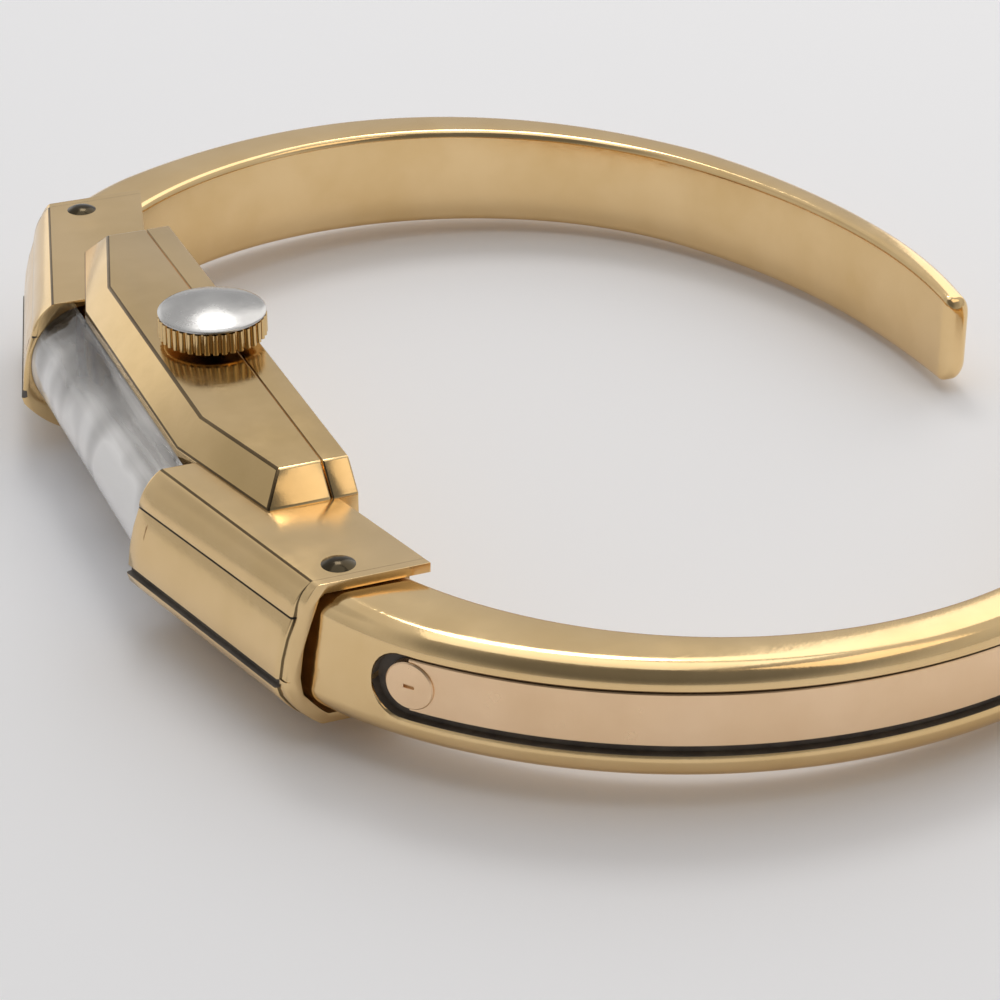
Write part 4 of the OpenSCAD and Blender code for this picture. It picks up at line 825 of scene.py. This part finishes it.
def ridgeTree():
    tree = bpy.data.node_groups.new("crownRidges", "GeometryNodeTree")
    tree.interface.new_socket("Drum", in_out="INPUT", socket_type="NodeSocketGeometry")
    settings = (
        ("Ridge count", "NodeSocketInt", crown["ridges"]),
        ("Ridge radius", "NodeSocketFloat", crown["ridge"] * mm),
        ("Ring radius", "NodeSocketFloat", (crown["radius"] - crown["ridge"]) * mm),
        ("Ridge height", "NodeSocketFloat", (crown["top"] - crown["foot"] - crown["ridgeShort"]) * mm))
    for label, kind, value in settings:
        socket = tree.interface.new_socket(label, in_out="INPUT", socket_type=kind)
        socket.default_value = value
    tree.interface.new_socket("Crown", in_out="OUTPUT", socket_type="NodeSocketGeometry")
    nodes, links = tree.nodes, tree.links
    entry, leave = nodes.new("NodeGroupInput"), nodes.new("NodeGroupOutput")
    ring = nodes.new("GeometryNodeMeshCircle")
    links.new(entry.outputs["Ridge count"], ring.inputs["Vertices"])
    links.new(entry.outputs["Ring radius"], ring.inputs["Radius"])
    bar = nodes.new("GeometryNodeMeshCylinder")
    bar.inputs["Vertices"].default_value = crown["ridgeSides"]
    links.new(entry.outputs["Ridge radius"], bar.inputs["Radius"])
    links.new(entry.outputs["Ridge height"], bar.inputs["Depth"])
    spread = nodes.new("GeometryNodeInstanceOnPoints")
    links.new(ring.outputs["Mesh"], spread.inputs["Points"])
    links.new(bar.outputs["Mesh"], spread.inputs["Instance"])
    lift = nodes.new("GeometryNodeTransform")
    lift.inputs["Translation"].default_value = (crown["x"] * mm, 0, (crown["foot"] + crown["top"]) * 0.5 * mm)
    links.new(spread.outputs["Instances"], lift.inputs["Geometry"])
    join = nodes.new("GeometryNodeJoinGeometry")
    links.new(lift.outputs["Geometry"], join.inputs["Geometry"])
    links.new(entry.outputs["Drum"], join.inputs["Geometry"])
    real = nodes.new("GeometryNodeRealizeInstances")
    links.new(join.outputs["Geometry"], real.inputs["Geometry"])
    dress = nodes.new("GeometryNodeSetMaterial")
    dress.inputs["Material"].default_value = caseGoldShadedCopy
    links.new(real.outputs["Geometry"], dress.inputs["Geometry"])
    links.new(dress.outputs["Geometry"], leave.inputs["Crown"])
    return tree


drumRadius, footEdge, topEdge = crown["radius"] - crown["ridge"], crown["footEdge"], crown["topEdge"]
drum = turnedMesh("crownRim", [
    (0.0, crown["foot"]), (drumRadius - footEdge, crown["foot"]), (drumRadius, crown["foot"] + footEdge),
    (drumRadius, crown["top"] - topEdge), (drumRadius - topEdge, crown["top"]),
    (0.0, crown["top"])], caseGoldShadedCopy)
ridges = drum.modifiers.new("ridges", "NODES")
ridges.node_group = ridgeTree()
applyModifiers(drum, crown["ridgeAngle"])
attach(drum, "crown")
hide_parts("crown_body")

capRadius, rise = crown["radius"] - crown["capSet"], crown["domeRise"]
ball = (capRadius ** 2 + rise ** 2) / (2 * rise)
capFoot = crown["top"]
(footIn, footUp), (topIn, topDown) = crown["capFootEdge"], crown["capTopEdge"]
profile = [(0.0, capFoot), (capRadius - footIn, capFoot), (capRadius, capFoot + footUp)]
profile += [(capRadius, capFoot + crown["capEdge"] - topDown)]
for r in steps(capRadius - topIn, 0.0, crown["domeSteps"]):
    profile.append((r, capFoot + crown["capEdge"] + rise - ball + sqrt(ball ** 2 - r * r)))
cap = turnedMesh("crownDome", profile, capSteel)
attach(cap, "crown")
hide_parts("crown_cap")
print("crown made")


# Stage, light and camera.

stage = {
    "restZ": -4.66, "restX": -2.0, "slope": 0.0413, "half": 1.2,
    "colour": (0.91, 0.91, 0.93), "roughness": 0.75,
}


def plainMaterial(name, colour, roughness):
    material, shader = newMaterial(name)[0::3]
    shader.inputs["Base Color"].default_value = (*colour, 1)
    shader.inputs["Roughness"].default_value = roughness
    return material


floorGrey = plainMaterial("floorGrey", stage["colour"], stage["roughness"])
reach = stage["half"] / mm
corners = [(x, y, stage["restZ"] + stage["slope"] * (x - stage["restX"])) for x, y in
           ((-reach, -reach), (reach, -reach), (reach, reach), (-reach, reach))]
floor = finishMesh("tableTop", corners, [(0, 1, 2, 3)], floorGrey)

lamps = {
    "backPanel": {"at": (0.070, 0.216, 0.353), "size": 0.11, "power": 0.24, "colour": (1.0, 0.99, 0.97)},
    "windowPanel": {
        "at": (0.290, 0.196, 0.235), "size": 0.27, "tall": 0.50, "power": 0.42, "colour": (1.0, 0.98, 0.95)},
    "ceilingPanel": {"at": (-0.02, 0.03, 0.45), "size": 0.30, "power": 0.24, "colour": (0.98, 0.99, 1.0)},
    "warmPanel": {"at": (0.14, -0.19, 0.32), "size": 0.17, "power": 0.092, "colour": (1.0, 0.83, 0.62)},
}
lampAim = Vector((0.01, 0.0, 0.0))
for name, facts in lamps.items():
    light = bpy.data.lights.new(name, "AREA")
    light.energy = facts["power"]
    light.shape = "RECTANGLE"
    light.size = facts["size"]
    light.size_y = facts.get("tall", facts["size"])
    light.color = facts["colour"]
    lamp = bpy.data.objects.new(name, light)
    lamp.location = facts["at"]
    aim = lampAim - Vector(facts["at"])
    lamp.rotation_euler = aim.to_track_quat("-Z", "Y").to_euler()
    bpy.context.scene.collection.objects.link(lamp)

# The room round the watch: each shade has its direction, where it starts and is full, and its two strengths.
room = {
    "brighterUp": ((0, 0, 1), 0.05, 0.8, 0.63, 0.80),
    "dimmerBehindCamera": ((-0.38, -0.75, 0.75), 0.45, 0.95, 1.0, 0.25),
    "brightPatch": ((-0.27, 0.95, 0.14), 0.915, 0.99, 1.0, 2.15),
    "dimPatch": ((-0.62, 0.50, 0.60), 0.955, 0.99, 1.0, 0.8),
}
paleBackground = (0.9, 0.9, 0.92, 1)
world = bpy.data.worlds.new("studio")
bpy.context.scene.world = world
world.use_nodes = True
wNodes, wLinks = world.node_tree.nodes, world.node_tree.links
wNodes.clear()
where = wNodes.new("ShaderNodeTexCoord")


def roomShade(direction, low, high, lowValue, highValue):
    dot = wNodes.new("ShaderNodeVectorMath")
    dot.operation = "DOT_PRODUCT"
    dot.inputs[1].default_value = Vector(direction).normalized()
    wLinks.new(where.outputs["Generated"], dot.inputs[0])
    spread = wNodes.new("ShaderNodeMapRange")
    spread.interpolation_type = "SMOOTHSTEP"
    spread.inputs["From Min"].default_value = low
    spread.inputs["From Max"].default_value = high
    spread.inputs["To Min"].default_value = lowValue
    spread.inputs["To Max"].default_value = highValue
    wLinks.new(dot.outputs["Value"], spread.inputs["Value"])
    return spread


shades = [roomShade(*facts) for facts in room.values()]
strength = shades[0]
for shade in shades[1:]:
    product = wNodes.new("ShaderNodeMath")
    product.operation = "MULTIPLY"
    wLinks.new(strength.outputs[0], product.inputs[0])
    wLinks.new(shade.outputs[0], product.inputs[1])
    strength = product
walls = wNodes.new("ShaderNodeBackground")
wLinks.new(strength.outputs[0], walls.inputs["Strength"])
pale = wNodes.new("ShaderNodeBackground")
pale.inputs["Color"].default_value = paleBackground
rays = wNodes.new("ShaderNodeLightPath")
pick = wNodes.new("ShaderNodeMixShader")
wLinks.new(rays.outputs["Is Camera Ray"], pick.inputs["Fac"])
wLinks.new(walls.outputs[0], pick.inputs[1])
wLinks.new(pale.outputs[0], pick.inputs[2])
out = wNodes.new("ShaderNodeOutputWorld")
wLinks.new(pick.outputs[0], out.inputs["Surface"])

view = {
    "at": (-39.595, -128.64, 69.086), "target": (8.0, -12.83, 0.0),
    "lens": 108.0, "sensor": 36.0, "near": 5.0,
}
cameraData = bpy.data.cameras.new("photoView")
cameraData.lens = view["lens"]
cameraData.sensor_width = view["sensor"]
cameraData.clip_start = view["near"] * mm
camera = bpy.data.objects.new("photoView", cameraData)
camera.location = Vector(view["at"]) * mm
sight = (Vector(view["target"]) - Vector(view["at"])) * mm
camera.rotation_euler = sight.to_track_quat("-Z", "Y").to_euler()
bpy.context.scene.collection.objects.link(camera)
bpy.context.scene.camera = camera
bpy.context.scene.view_settings.view_transform = "Standard"
print("stage, light and camera set")
